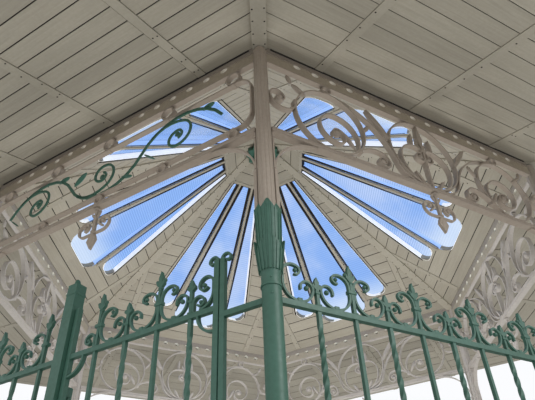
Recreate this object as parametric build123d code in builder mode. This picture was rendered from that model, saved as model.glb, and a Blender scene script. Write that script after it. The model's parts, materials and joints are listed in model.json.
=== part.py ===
from build123d import *
from math import atan2, ceil, cos, degrees, hypot, radians, sin, tan
import os

# An open hexagonal bandstand: a raised masonry plinth, six cast columns with a green
# collar, scrolled iron friezes under a deep eave, a boarded roof with a fan skylight in
# each slope, and a wrought iron railing with a gate. Millimetres, +Z up, the origin on
# the ground in the middle of the plan. Column 1 stands at -Y, and the numbers of columns
# and sides run counterclockwise; side 1 lies between columns 1 and 2.

# Plan
side_count = 6
column_circle = 3165.0

# Plinth, deck and steps
deck_top = 1650.0
deck_thickness = 90.0
deck_overhang = 120.0
plinth_margin = 230.0
base_height = 220.0
base_step = 70.0
riser_limit = 185.0
tread_going = 235.0
flight_width = 1400.0
cheek_thickness = 150.0
cheek_rise = 120.0

# Columns
shaft_radius = 56.0
upper_radius = 54.0
joint_height = 1215.0
joint_ring = 5.0
tails_over_joint = 75.0
lower_tier_height = 261.0
upper_tier_height = 307.0
lower_tier_radius = 84.0
collar_radius = 87.0
collar_waist = 62.0
leaf_notch = 105.0
leaf_gap = 108.0
flute_count = 12
flute_radius = 9.0
flute_bite = 4.0
base_block = 250.0
base_block_height = 40.0
base_lip = 12.0
base_lip_height = 20.0
base_bell_height = 75.0
base_bell_flare = 8.0

# Fascia beam and frieze
fascia_top = 3437.0
fascia_depth = 167.0
fascia_thickness = 60.0
fascia_band = 70.0
fascia_lip = 8.0
slot_count = 15
slot_pitch = 178.0
slot_width = 69.0
slot_height = 46.0
chord_bottom = 2472.0
chord_height = 40.0
frieze_depth = 46.0
strip = 13.0
weld = 4.0
bracket_radius = 380.0
pendant_drop = 400.0
pendant_depth = 24.0
panel_end_gap = 24.0
panel_top_gap = 150.0
panel_bottom_gap = 93.0
panel_corner = 120.0
panel_ring_pitch = 667.0

# Roof
roof_rise = 2072.0
roof_slab = 60.0
eaves_reach = 1560.0
eaves_pitch = 15.6
batten_width = 76.0
batten_thickness = 12.0
batten_offset = 1032.0
hip_strip_width = 118.0
hip_strip_thickness = 26.0
crown_radius = 150.0

# Fan skylights, measured on the slope from the apex
fan_start = 717.0
fan_centre_end = 3110.0
fan_side_end = 2890.0
fan_bar_angle = 8.1
fan_edge_angle = 15.6
fan_bar_width = 90.0
lobe_corner = 175.0
side_corner = 130.0
glass_thickness = 10.0
glass_lap = 30.0

# Finial and rosette at the apex
rosette_radius = 250.0
rosette_depth = 95.0
rosette_leaves = 12
rod_radius = 22.0
cap_radius = 330.0
cap_neck = 60.0
cap_thickness = 45.0
spike_height = 640.0

# Railing and gate
rail_height = 1150.0
rail_size = 34.0
bar_size = 25.0
bar_count = 11
first_bar = 301.0
bottom_rail_gap = 150.0
tall_tip = 354.0
short_tip = 206.0
tall_head = 120.0
short_head = 85.0
scroll_strip = 14.0
scroll_depth = 22.0
scroll_rise = 60.0
scroll_crook = 70.0
scroll_curl = 28.0
volute_gap = 28.0
volute_radius = 42.0
gate_rail_height = 1205.0
gate_tip_gain = 46.0
latch_post_from_column = 325.0
latch_post_size = 32.0
post_height = 1530.0
crook_radius = 32.0
gate_bracket = 120.0
hinge_post_size = 90.0
hinge_post_over_rail = 560.0
hinge_post_from_column = 1630.0
stile_size = 36.0
running_gap = 8.0
gate_foot = 50.0
pin_radius = 8.0
pin_clearance = 0.5
pin_stand = 23.0
knuckle_radius = 18.0
knuckle_height = 60.0
hinge_heights = (260.0, 960.0)
joint_gap = 3.0
seat_gap = 0.3

# Derived sizes of the plan
half_turn = 180.0 / side_count
side_length = 2 * column_circle * sin(radians(half_turn))
apothem = column_circle * cos(radians(half_turn))
corner_ratio = 1 / cos(radians(half_turn))
fascia_inner = apothem - fascia_thickness / 2
fascia_outer = apothem + fascia_thickness / 2
eave_line = fascia_outer + eaves_reach
plinth_apothem = apothem + plinth_margin
deck_apothem = plinth_apothem + deck_overhang
plate_z = deck_top + fascia_top
fascia_low = plate_z - fascia_depth
chord_low = deck_top + chord_bottom
chord_top = chord_low + chord_height
roof_pitch = degrees(atan2(roof_rise, fascia_inner))
slope_length = hypot(roof_rise, fascia_inner)
apex_z = plate_z + roof_rise
lower_tier_bottom = joint_height + tails_over_joint
lower_tier_top = lower_tier_bottom + lower_tier_height
collar_top = lower_tier_top + upper_tier_height
pin_offset = hinge_post_size / 2 + pin_stand

# The columns run up past the fascia and stop under the hip strips
inner_fall = roof_rise / fascia_inner
eave_drop = tan(radians(eaves_pitch))
hip_half = hip_strip_width / 2
strip_sink = hip_half * sin(radians(half_turn))
corner_overlap = column_circle + shaft_radius - fascia_outer * corner_ratio
head_drop = max(strip_sink * inner_fall, strip_sink * eave_drop + corner_overlap * eave_drop / corner_ratio)
column_head = plate_z - hip_strip_thickness - head_drop - seat_gap

os.makedirs("parts", exist_ok=True)


def save(part, name):
    """Label a finished piece and write it under its own name."""
    part.label = name
    export_step(part, f"parts/{name}.step")


def save_round(part, name, count=side_count):
    """Write one finished piece as it stands at each corner or on each side in turn."""
    for place in range(count):
        save(part.rotate(Axis.Z, 2 * half_turn * place), f"{name}_{place + 1}")


def side_angle(side):
    return -90.0 + half_turn + (side - 1) * 2 * half_turn


def corner_angle(column):
    return -90.0 + (column - 1) * 2 * half_turn


def elevation(side, distance=apothem, height=0.0):
    """The upright plane of one side: x along the side, y up, z outwards."""
    a = radians(side_angle(side))
    origin = (distance * cos(a), distance * sin(a), height)
    return Plane(origin=origin, x_dir=(-sin(a), cos(a), 0), z_dir=(cos(a), sin(a), 0))


def level(side, height):
    """A level plane over the middle of one side: x along the side, y inwards, z up."""
    frame = elevation(side, apothem, height)
    return Plane(origin=frame.origin, x_dir=frame.x_dir, z_dir=(0, 0, 1))


def section(angle):
    """The upright plane through the middle of the plan: x outwards, y up."""
    a = radians(angle)
    return Plane(origin=(0, 0, 0), x_dir=(cos(a), sin(a), 0), z_dir=(sin(a), -cos(a), 0))


def column_plane(column, height=0.0):
    a = radians(corner_angle(column))
    origin = (column_circle * cos(a), column_circle * sin(a), height)
    return Plane(origin=origin, x_dir=(-sin(a), cos(a), 0), z_dir=(0, 0, 1))


def slope_plane(side, lift=0.0):
    """The underside of one roof slope: origin at the apex, y up the slope."""
    a = radians(side_angle(side))
    pitch = radians(roof_pitch)
    out = Vector(sin(pitch) * cos(a), sin(pitch) * sin(a), cos(pitch))
    return Plane(origin=Vector(0, 0, apex_z) + out * lift, x_dir=(-sin(a), cos(a), 0), z_dir=out)


def eave_plane(side):
    """The underside of one eave: origin on the fascia, y down the slope, z downwards."""
    a = radians(side_angle(side))
    pitch = radians(eaves_pitch)
    down = Vector(-sin(pitch) * cos(a), -sin(pitch) * sin(a), -cos(pitch))
    origin = (fascia_outer * cos(a), fascia_outer * sin(a), plate_z)
    return Plane(origin=origin, x_dir=(-sin(a), cos(a), 0), z_dir=down)


def hexagon(distance, mode=Mode.ADD):
    """A hexagon in plan, given the distance of its sides from the middle."""
    return RegularPolygon(radius=distance * corner_ratio, side_count=side_count, rotation=-90, mode=mode)


def keep_sector(side):
    """Trim the part under way to the sixth of the plan that belongs to one side."""
    reach = 2 * (eave_line + eaves_reach)
    first, last = radians(side_angle(side) - half_turn), radians(side_angle(side) + half_turn)
    with BuildSketch(Plane.XY) as sector:
        with BuildLine():
            Polyline(
                (0, 0),
                (reach * cos(first), reach * sin(first)),
                (reach * cos(last), reach * sin(last)),
                close=True,
            )
        make_face()
    extrude(sector.sketch, amount=2 * apex_z, mode=Mode.INTERSECT)


def ribbon(start, heading, turns, width=strip):
    """A flat bar bent through tangent arcs, each (radius, degrees), or straight for 0 degrees."""
    with BuildLine() as path:
        point, tangent = Vector(*start), Vector(*heading).normalized()
        for radius, angle in turns:
            if angle:
                run = JernArc(start=point, tangent=tangent, radius=radius, arc_size=angle)
            else:
                run = Line(point, point + tangent * radius)
            point, tangent = run @ 1, run % 1
    trace(path.line, line_width=width)


def leaf(foot, tip, width):
    """A pointed leaf cut from flat bar, bowed out on both sides."""
    with BuildLine() as edge:
        SagittaArc(foot, tip, width / 2)
        SagittaArc(tip, foot, width / 2)
    make_face(edge.line)


# Plinth: a masonry drum with a base course, hexagonal like the roof
with BuildPart() as plinth:
    with BuildSketch(Plane.XY):
        hexagon(plinth_apothem + base_step)
    extrude(amount=base_height)
    with BuildSketch(Plane.XY.offset(base_height)):
        hexagon(plinth_apothem)
    extrude(amount=deck_top - deck_thickness - base_height)
    chamfer(plinth.edges().group_by(Axis.Z)[1].group_by(SortBy.LENGTH)[-1], base_step / 3)
save(plinth.part, "plinth")

# Deck: the floor slab with a rounded nosing all round
with BuildPart() as deck:
    with BuildSketch(Plane.XY.offset(deck_top - deck_thickness)):
        hexagon(deck_apothem)
    extrude(amount=deck_thickness)
    fillet(deck.faces().sort_by(Axis.Z)[-1].edges(), deck_thickness / 3)
save(deck.part, "deck")

# Gate side: places along side 6, counted from the middle towards column 1
gate_side = side_count
latch_post_x = side_length / 2 - latch_post_from_column
hinge_post_x = side_length / 2 - hinge_post_from_column
hinge_face_x = hinge_post_x + hinge_post_size / 2
stile_low_x = hinge_face_x + running_gap
stile_high_x = latch_post_x - latch_post_size / 2 - running_gap
gate_middle = (stile_low_x + stile_high_x) / 2

# Steps: one solid flight in front of the gate, between two stone cheeks
riser_count = ceil(deck_top / riser_limit)
riser = deck_top / riser_count
flight_run = (riser_count - 1) * tread_going
wall = elevation(gate_side, plinth_apothem)
flight_foot = wall.from_local_coords(Vector(gate_middle, 0, 0))
side_of_flight = Plane(origin=flight_foot, x_dir=wall.z_dir, z_dir=-wall.x_dir)
flight_start = base_step
with BuildPart() as steps:
    with BuildSketch(side_of_flight):
        with BuildLine():
            outline = [(flight_start, 0)]
            for step in range(riser_count - 1):
                front = flight_run - step * tread_going
                height = (step + 1) * riser
                outline += [(front, step * riser), (front, height)]
            outline += [(deck_overhang, height), (deck_overhang, deck_top - deck_thickness)]
            outline += [(0, deck_top - deck_thickness), (0, base_height), (flight_start, base_height)]
            Polyline(*outline, close=True)
        make_face()
    extrude(amount=flight_width / 2, both=True)
save(steps.part, "steps")

with BuildPart() as step_cheeks:
    with BuildSketch(side_of_flight):
        with BuildLine():
            top = deck_top - deck_thickness
            slope_end = riser + cheek_rise
            Polyline(
                (flight_start, 0),
                (flight_run, 0),
                (flight_run, slope_end),
                (deck_overhang, top),
                (0, top),
                (0, base_height),
                (flight_start, base_height),
                close=True,
            )
        make_face()
    extrude(amount=flight_width / 2 + cheek_thickness, both=True)
    with BuildSketch(side_of_flight):
        with Locations((flight_run / 2, deck_top / 2)):
            Rectangle(2 * flight_run, 2 * deck_top)
    extrude(amount=flight_width / 2, both=True, mode=Mode.SUBTRACT)
save(step_cheeks.part, "step_cheeks")

# Columns: a moulded foot, a plain green shaft with a lap joint, a collar of two cups with
# four pointed leaves each, and above it a slimmer fluted shaft up past the fascia
foot = column_plane(1, deck_top)
with BuildPart() as column:
    with BuildSketch(foot):
        Rectangle(base_block, base_block)
    extrude(amount=base_block_height)
    with BuildSketch(Plane(origin=foot.origin, x_dir=foot.x_dir, z_dir=-foot.y_dir)):
        with BuildLine():
            bell_top = base_block_height + base_bell_height
            Polyline(
                (0, base_block_height),
                (base_block / 2 - base_lip, base_block_height),
                (base_block / 2 - base_lip_height, base_block_height + base_lip_height),
                (shaft_radius + base_bell_flare, bell_top),
                (shaft_radius, bell_top + base_lip),
                (shaft_radius, joint_height),
                (shaft_radius + joint_ring, joint_height),
                (shaft_radius + joint_ring, joint_height + 3 * joint_ring),
                (shaft_radius, joint_height + 3 * joint_ring),
                (shaft_radius, lower_tier_bottom),
                (0, lower_tier_bottom),
                close=True,
            )
        make_face()
    revolve(axis=Axis(foot.origin, (0, 0, 1)))
    for low, high, waist, rim in (
        (lower_tier_bottom, lower_tier_top, shaft_radius, lower_tier_radius),
        (lower_tier_top - leaf_notch, collar_top, collar_waist, collar_radius),
    ):
        with Locations(foot.offset((low + high) / 2)):
            Cone(waist, rim, high - low)
        # The notches between the leaves run right through, before the next tier fills them
        for turn in (half_turn * 1.5, -half_turn * 1.5):
            a = radians(corner_angle(1) + turn)
            across = Plane(
                origin=foot.offset(high).origin, x_dir=(-sin(a), cos(a), 0), z_dir=(cos(a), sin(a), 0)
            )
            with BuildSketch(across):
                with BuildLine():
                    Polyline((0, -leaf_notch), (leaf_gap / 2, 0), (-leaf_gap / 2, 0), close=True)
                make_face()
            extrude(amount=2 * rim, both=True, mode=Mode.SUBTRACT)
    with BuildSketch(foot.offset(collar_top - leaf_notch)):
        Circle(upper_radius)
        with PolarLocations(upper_radius + flute_radius - flute_bite, flute_count):
            Circle(flute_radius, mode=Mode.SUBTRACT)
    extrude(amount=column_head - deck_top - collar_top + leaf_notch)
save_round(column.part, "column")

# Fascia: six beams between the columns, with a thicker upper band and a row of oval slots
with BuildPart() as fascia:
    with BuildSketch(section(side_angle(1))):
        with BuildLine():
            Polyline(
                (fascia_inner, fascia_low),
                (fascia_outer - fascia_lip, fascia_low),
                (fascia_outer - fascia_lip, plate_z - fascia_band),
                (fascia_outer, plate_z - fascia_band),
                (fascia_outer, plate_z),
                (fascia_inner, plate_z),
                close=True,
            )
        make_face()
    extrude(amount=side_length, both=True)
    keep_sector(1)
    with BuildSketch(elevation(1, apothem, (plate_z + fascia_low) / 2)):
        with GridLocations(slot_pitch, 1, slot_count, 1):
            Ellipse(slot_width / 2, slot_height / 2)
    extrude(amount=fascia_thickness, both=True, mode=Mode.SUBTRACT)
    with BuildSketch(column_plane(1, fascia_low), column_plane(2, fascia_low)):
        Circle(upper_radius + seat_gap)
    extrude(amount=fascia_depth, mode=Mode.SUBTRACT)
save_round(fascia.part, "fascia")

# Frieze: scrolled flat bar between a top strip and the bottom chord. A ring stands in the
# middle with two C scrolls and a spear leaf in it, and on each side of it a large circle
# with a spiral, an S band down to the ring's foot, an arch and a scroll to the column
frieze_end = side_length / 2 - upper_radius - seat_gap
inner_low = chord_top - weld
inner_high = fascia_low - strip + weld
ring_radius = (inner_high - inner_low - strip) / 2
ring_middle = (inner_high + inner_low) / 2
floor_line = inner_low + strip / 2
circle_radius = ring_radius * 0.88
circle_x = frieze_end * 0.636
circle_z = floor_line + circle_radius
stud_radius = (inner_high - circle_z - circle_radius - strip / 2) / 2 + weld / 2
band_sum = 2 * circle_radius / (1 - cos(radians(75)))
column_side = frieze_end - strip / 2
scroll_start = circle_x + circle_radius * 0.98
scroll_radius = (column_side - scroll_start) / 2
scroll_z = circle_z + circle_radius * 0.18


def brackets(side):
    """Quarter round brackets between the columns and the chord, seated on both."""
    with BuildSketch(elevation(side)) as bent:
        for way in (1, -1):
            low = chord_low - seat_gap - strip / 2 - bracket_radius
            ribbon((way * column_side, low - strip), (0, 1), [(strip, 0), (bracket_radius, way * 90)])
            with Locations((way * column_side, low + (bracket_radius - strip) / 2)):
                Rectangle(strip, bracket_radius + strip + weld)
    extrude(bent.sketch, amount=frieze_depth / 2, both=True)


def chord_and_pendant(side):
    """The bottom chord with a leaf and two curls hanging from its middle."""
    with BuildSketch(elevation(side)) as chord:
        with Locations((0, chord_low + chord_height / 2)):
            Rectangle(2 * frieze_end, chord_height)
    extrude(chord.sketch, amount=fascia_thickness / 2, both=True)
    with BuildSketch(elevation(side)) as pendant:
        with BuildLine() as drop:
            Polyline(
                (strip, chord_low + weld),
                (strip, chord_low - pendant_drop * 0.6),
                (strip * 3.7, chord_low - pendant_drop * 0.8),
                (0, chord_low - pendant_drop),
                (-strip * 3.7, chord_low - pendant_drop * 0.8),
                (-strip, chord_low - pendant_drop * 0.6),
                (-strip, chord_low + weld),
                close=True,
            )
        make_face(drop.line)
        for way in (1, -1):
            ribbon(
                (way * weld, chord_low - pendant_drop * 0.63),
                (way, 0),
                [
                    (pendant_drop * 0.23, 0),
                    (pendant_drop * 0.165, way * 180),
                    (pendant_drop * 0.1, way * 180),
                ],
            )
    extrude(pendant.sketch, amount=pendant_depth / 2, both=True)


with BuildPart() as frieze:
    with BuildSketch(elevation(1)):
        with Locations((0, fascia_low - strip / 2)):
            Rectangle(2 * frieze_end, strip)
        with Locations((0, ring_middle)):
            Circle(ring_radius + strip / 2)
            Circle(ring_radius - strip / 2, mode=Mode.SUBTRACT)
        # The stem that ends in a spear leaf
        with BuildLine() as stem:
            stem_foot = ring_middle - ring_radius
            Polyline(
                (strip * 0.7, stem_foot),
                (strip * 0.7, ring_middle + ring_radius * 0.2),
                (strip * 2.3, ring_middle + ring_radius * 0.55),
                (0, ring_middle + ring_radius),
                (-strip * 2.3, ring_middle + ring_radius * 0.55),
                (-strip * 0.7, ring_middle + ring_radius * 0.2),
                (-strip * 0.7, stem_foot),
                close=True,
            )
        make_face(stem.line)
        for way in (1, -1):
            # C scroll and leaves inside the ring
            ribbon(
                (way * ring_radius * 0.16, ring_middle - ring_radius * 0.987),
                (way * 0.987, 0.16),
                [
                    (ring_radius * 0.68, way * 91),
                    (ring_radius * 0.49, way * 110),
                    (ring_radius * 0.19, way * 180),
                    (ring_radius * 0.115, way * 170),
                ],
            )
            leaf(
                (way * ring_radius * 0.2, ring_middle - ring_radius * 0.98),
                (way * ring_radius * 0.42, ring_middle - ring_radius * 0.64),
                strip * 2,
            )
            leaf(
                (way * ring_radius * 0.3, ring_middle + ring_radius * 0.18),
                (way * ring_radius * 0.27, ring_middle + ring_radius * 0.6),
                strip * 2,
            )
            # Large circle with its spiral, and the small ring that ties it to the top
            with Locations((way * circle_x, circle_z)):
                Circle(circle_radius + strip / 2)
                Circle(circle_radius - strip / 2, mode=Mode.SUBTRACT)
            ribbon(
                (way * (circle_x - circle_radius * 0.14), floor_line + weld / 2),
                (-way, 0),
                [
                    (circle_radius * 0.64, -way * 180),
                    (circle_radius * 0.47, -way * 180),
                    (circle_radius * 0.23, -way * 180),
                    (circle_radius * 0.12, -way * 140),
                ],
            )
            with Locations((way * circle_x, inner_high - stud_radius)):
                Circle(stud_radius)
                Circle(stud_radius - strip, mode=Mode.SUBTRACT)
            # S band from the circle's top to the foot of the ring, with a branch leaf
            ribbon(
                (way * circle_x, circle_z + circle_radius),
                (-way, 0),
                [(band_sum * 0.74, way * 75), (band_sum * 0.26, -way * 75)],
            )
            leaf(
                (way * (ring_radius - strip), ring_middle + strip),
                (way * ring_radius * 1.54, ring_middle + ring_radius * 0.82),
                strip * 3.6,
            )
            # Arch from the circle with a volute under it
            ribbon(
                (way * (circle_x - circle_radius * 0.745), circle_z - circle_radius * 0.675),
                (-way * cos(radians(45.6)), sin(radians(45.6))),
                [
                    (circle_radius * 0.88, way * 45.6),
                    (circle_radius * 0.3, way * 90),
                    (circle_radius * 0.17, way * 180),
                    (circle_radius * 0.11, way * 180),
                ],
            )
            # Scroll between the circle and the column
            ribbon(
                (way * scroll_start, scroll_z),
                (0, -1),
                [
                    (scroll_radius, way * 180),
                    (scroll_radius * 0.55, way * 180),
                    (scroll_radius * 0.28, way * 180),
                ],
            )
    extrude(amount=frieze_depth / 2, both=True)
    chord_and_pendant(1)
    brackets(1)
save_round(frieze.part, "frieze", side_count - 1)

# Over the gate: a plain rounded panel held between the strip and the chord by small rings
panel_half = frieze_end - panel_end_gap
panel_high = fascia_low - panel_top_gap
panel_low = chord_top + panel_bottom_gap
rest_high = (fascia_low - strip - panel_high - strip / 2) / 2 + weld / 2
rest_low = (panel_low - strip / 2 - chord_top) / 2 + weld / 2
with BuildPart() as gate_frieze:
    with BuildSketch(elevation(side_count)):
        with Locations((0, (panel_high + panel_low) / 2)):
            RectangleRounded(2 * panel_half, panel_high - panel_low + strip, panel_corner + strip / 2)
            RectangleRounded(
                2 * (panel_half - strip),
                panel_high - panel_low - strip,
                panel_corner - strip / 2,
                mode=Mode.SUBTRACT,
            )
        with Locations((0, fascia_low - strip / 2)):
            Rectangle(2 * frieze_end, strip)
        for place in (-2, -1, 0, 1, 2):
            for middle, radius in (
                (panel_high + strip / 2 - weld / 2 + rest_high, rest_high),
                (chord_top - weld / 2 + rest_low, rest_low),
            ):
                with Locations((place * panel_ring_pitch, middle)):
                    Circle(radius)
                    Circle(radius - strip, mode=Mode.SUBTRACT)
    extrude(amount=frieze_depth / 2, both=True)
    chord_and_pendant(side_count)
    brackets(side_count)
save(gate_frieze.part, f"frieze_{side_count}")

# Roof slopes: boarded slabs from the fascia to the crown, each pierced by a fan
slab_rise = roof_slab / cos(radians(roof_pitch))
eave_slab_rise = roof_slab / cos(radians(eaves_pitch))
crown_z = apex_z - crown_radius * inner_fall
meeting_top = plate_z + (fascia_inner - apothem) * inner_fall + slab_rise


def strip_edge(x):
    """Where a batten at x along the side meets the edge of the hip strip, on the slope."""
    turn = radians(half_turn)
    tuck = seat_gap + batten_thickness * sin(radians(roof_pitch)) * sin(turn)
    out = (hip_strip_width / 2 + tuck + x * cos(turn)) / sin(turn)
    return -out / cos(radians(roof_pitch))


def fan_pane(first_angle, last_angle, end, corner, grow):
    """One pane of the fan, drawn from the apex, y towards the eaves."""
    first, last = radians(first_angle), radians(last_angle)
    with BuildSketch(mode=Mode.PRIVATE) as pane:
        with BuildLine():
            Polyline(
                (fan_start * tan(first) - grow, -fan_start + grow),
                (end * tan(first) - grow, -end - grow),
                (end * tan(last) + grow, -end - grow),
                (fan_start * tan(last) + grow, -fan_start + grow),
                close=True,
            )
        make_face()
        fillet(pane.vertices().group_by(Axis.Y)[0], corner + grow)
    return pane.sketch


def fan_panes(grow=0.0):
    """The three panes of a skylight, apart by its two radial bars."""
    bar_half = degrees(atan2(fan_bar_width / 2, fan_side_end))
    middle = fan_pane(-fan_bar_angle + bar_half, fan_bar_angle - bar_half, fan_centre_end, lobe_corner, grow)
    right = fan_pane(fan_bar_angle + bar_half, fan_edge_angle, fan_side_end, side_corner, grow)
    left = fan_pane(-fan_edge_angle, -fan_bar_angle - bar_half, fan_side_end, side_corner, grow)
    return middle, right, left


for side in range(1, side_count + 1):
    with BuildPart() as roof:
        with BuildSketch(section(side_angle(side))):
            with BuildLine():
                Polyline(
                    (apothem, plate_z),
                    (fascia_inner, plate_z),
                    (crown_radius, crown_z),
                    (crown_radius, crown_z + slab_rise),
                    (apothem, meeting_top),
                    close=True,
                )
            make_face()
        extrude(amount=side_length, both=True)
        keep_sector(side)
        with BuildSketch(slope_plane(side, -batten_thickness)):
            for way in (-1, 1):
                with BuildLine():
                    near, far = batten_offset - batten_width / 2, batten_offset + batten_width / 2
                    foot_y = -slope_length + 2 * batten_thickness
                    Polyline(
                        (way * near, strip_edge(near)),
                        (way * far, strip_edge(far)),
                        (way * far, foot_y),
                        (way * near, foot_y),
                        close=True,
                    )
                make_face()
        extrude(amount=batten_thickness)
        with BuildSketch(slope_plane(side, -batten_thickness)):
            for pane in fan_panes():
                add(pane)
        extrude(amount=roof_slab + 2 * batten_thickness, mode=Mode.SUBTRACT)
    save(roof.part, f"roof_{side}")

with BuildPart() as skylight_glass:
    for side in range(1, side_count + 1):
        with BuildSketch(slope_plane(side, roof_slab)):
            for pane in fan_panes(glass_lap):
                add(pane)
        extrude(amount=glass_thickness)
save(skylight_glass.part, "skylight_glass")

# Eaves: shallow boarded slopes outside the fascia, with cover battens on the joints
eave_low = plate_z - eaves_reach * eave_drop
eave_length = eaves_reach / cos(radians(eaves_pitch))
for side in range(1, side_count + 1):
    with BuildPart() as eaves:
        with BuildSketch(section(side_angle(side))):
            with BuildLine():
                Polyline(
                    (apothem, plate_z),
                    (fascia_outer, plate_z),
                    (eave_line, eave_low),
                    (eave_line, eave_low + eave_slab_rise),
                    (apothem, meeting_top),
                    close=True,
                )
            make_face()
        extrude(amount=eave_line, both=True)
        keep_sector(side)
        with BuildSketch(eave_plane(side)):
            with Locations(*((way * batten_offset, (eave_length + batten_thickness) / 2) for way in (-1, 0, 1))):
                Rectangle(batten_width, eave_length - batten_thickness)
        extrude(amount=batten_thickness)
    save(eaves.part, f"eaves_{side}")

# Hip strips: flat bars under the mitres, inside from the crown to the fascia and
# outside from the fascia to the corner of the eaves
with BuildPart() as hips:
    for column in range(1, side_count + 1):
        a = radians(corner_angle(column))
        across = (-sin(a), cos(a), 0)
        for fall, begin, end, line_z in (
            (inner_fall, crown_radius * corner_ratio, column_circle, apex_z),
            (eave_drop, column_circle, eave_line * corner_ratio, plate_z + fascia_outer * eave_drop),
        ):
            hip_fall = fall / corner_ratio
            sink = strip_sink * fall
            start_z = line_z - begin * hip_fall
            origin = (begin * cos(a), begin * sin(a), start_z)
            with BuildSketch(Plane(origin=origin, x_dir=across, z_dir=(cos(a), sin(a), 0))):
                with BuildLine():
                    Polyline(
                        (0, 0),
                        (-hip_half, -sink),
                        (-hip_half, -sink - hip_strip_thickness),
                        (hip_half, -sink - hip_strip_thickness),
                        (hip_half, -sink),
                        close=True,
                    )
                make_face()
            run = end - begin
            path = Vector(cos(a), sin(a), -hip_fall)
            extrude(amount=run * hypot(1, hip_fall), dir=path)
    # The fascia stands between the inner and the outer strips
    with BuildSketch(Plane.XY.offset(fascia_low)):
        hexagon(fascia_outer)
        hexagon(fascia_inner, mode=Mode.SUBTRACT)
    extrude(amount=2 * fascia_depth, mode=Mode.SUBTRACT)
    with BuildSketch(Plane.XY):
        hexagon(eave_line)
    extrude(amount=apex_z, mode=Mode.INTERSECT)
save(hips.part, "hips")

# Finial: a green rosette under the crown, a rod through it, the cap on the slabs and a spike
hip_slope = inner_fall / corner_ratio
rosette_top = (
    apex_z - rosette_radius * hip_slope - strip_sink * inner_fall
    - hip_strip_thickness - seat_gap
)
cap_edge_z = apex_z + slab_rise - cap_radius * inner_fall + seat_gap
cap_peak_z = cap_edge_z + (cap_radius - cap_neck) * inner_fall
with BuildPart() as finial:
    with BuildSketch(Plane.XY.offset(cap_edge_z + cap_thickness)):
        hexagon(cap_radius)
    with BuildSketch(Plane.XY.offset(cap_peak_z + cap_thickness)):
        hexagon(cap_neck)
    loft()
    with BuildSketch(Plane.XY.offset(cap_edge_z)):
        hexagon(cap_radius)
    extrude(amount=cap_thickness)
    with BuildSketch(Plane.XY.offset(cap_edge_z)):
        hexagon(cap_radius)
    with BuildSketch(Plane.XY.offset(cap_peak_z)):
        hexagon(cap_neck)
    loft(mode=Mode.SUBTRACT)
    # Two tiers of pointed leaves under the crown
    for reach, low, high in ((1.0, 0.55, 0.0), (0.6, 1.0, 0.55)):
        points = []
        for place in range(2 * rosette_leaves):
            a = radians(180 / rosette_leaves * place)
            radius = rosette_radius * reach * (0.8 if place % 2 else 1.0)
            points.append((radius * cos(a), radius * sin(a)))
        with BuildSketch(Plane.XY.offset(rosette_top - rosette_depth * low)):
            with BuildLine():
                Polyline(*points, close=True)
            make_face()
        extrude(amount=rosette_depth * (low - high))
    # The rod through the crown, a collar on the cap, a ball and the spike
    spike_z = cap_peak_z + cap_thickness
    ball_z = spike_z + spike_height * 0.3
    for low, high, first, last in (
        (rosette_top - 1, ball_z, rod_radius, rod_radius),
        (cap_peak_z, spike_z + rod_radius, cap_neck * 0.9, cap_neck * 0.6),
        (ball_z - cap_neck, ball_z, rod_radius, cap_neck),
        (ball_z, ball_z + cap_neck, cap_neck, rod_radius),
        (ball_z + cap_neck, spike_z + spike_height, rod_radius, 1.0),
    ):
        with BuildSketch(Plane.XY.offset(low)):
            RegularPolygon(first, 12)
        with BuildSketch(Plane.XY.offset(high)):
            RegularPolygon(last, 12)
        loft()
save(finial.part, "finial")

# Railing: bars through a top and a bottom rail, alternately short and tall over the rail,
# with a scrolled strip in each interval that leans on the tall bar and curls at the short one
low_rail_z = deck_top + bottom_rail_gap
bar_step = (side_length - 2 * first_bar) / (bar_count - 1)
bar_places = [first_bar - side_length / 2 + bar_step * place for place in range(bar_count)]
rail_end = side_length / 2 - shaft_radius - seat_gap
lean = (bar_size + scroll_strip) / 2 - 1
column_mark = rail_end - joint_ring - joint_gap + bar_size / 2 - 1


def is_tall(x, first_tall):
    place = round((x - bar_places[0]) / bar_step)
    return place % 2 == first_tall


def bars(places, rail_z, gain=0.0, first_tall=1):
    """Upright bars with a leafed spear head, every second one tall."""
    for x in places:
        tall = is_tall(x, first_tall)
        tip = rail_z + gain + (tall_tip if tall else short_tip)
        head = tall_head if tall else short_head
        half = bar_size / 2
        side = [
            (half, low_rail_z - rail_size / 2),
            (half * 0.8, tip - head),
            (half * 2.5, tip - head * 0.8),
            (half * 2.3, tip - head * 0.55),
            (half * 1.1, tip - head * 0.7),
            (half * 1.3, tip - head * 0.4),
        ]
        with BuildLine() as outline:
            right = [(x + across, height) for across, height in side]
            left = [(x - across, height) for across, height in reversed(side)]
            Polyline(*right, (x, tip), *left, close=True)
        make_face(outline.line)


def rails(first, last, rail_z, size=rail_size):
    """The top and the bottom rail between two places along a side."""
    with Locations(((first + last) / 2, rail_z), ((first + last) / 2, low_rail_z)):
        Rectangle(last - first, size)


def cresting(places, rail_z, first_tall=1):
    """The scrolled strips that stand on the top rail between the bars."""
    base = rail_z + rail_size / 2 + scroll_strip / 2 - 1
    for near, far in zip(places, places[1:]):
        way = 1 if is_tall(near, first_tall) or near == -column_mark else -1
        middle = (near + far) / 2
        ribbon(
            (middle, base),
            (-way, 0),
            [
                (abs(far - near) / 2 - lean, -way * 90),
                (scroll_rise, 0),
                (scroll_crook, -way * 120),
                (scroll_curl, -way * 170),
            ],
            scroll_strip,
        )
        ribbon(
            (middle, base),
            (way, 0),
            [(abs(far - near) / 2 - volute_gap, way * 90), (volute_radius, way * 200)],
            scroll_strip,
        )


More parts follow.
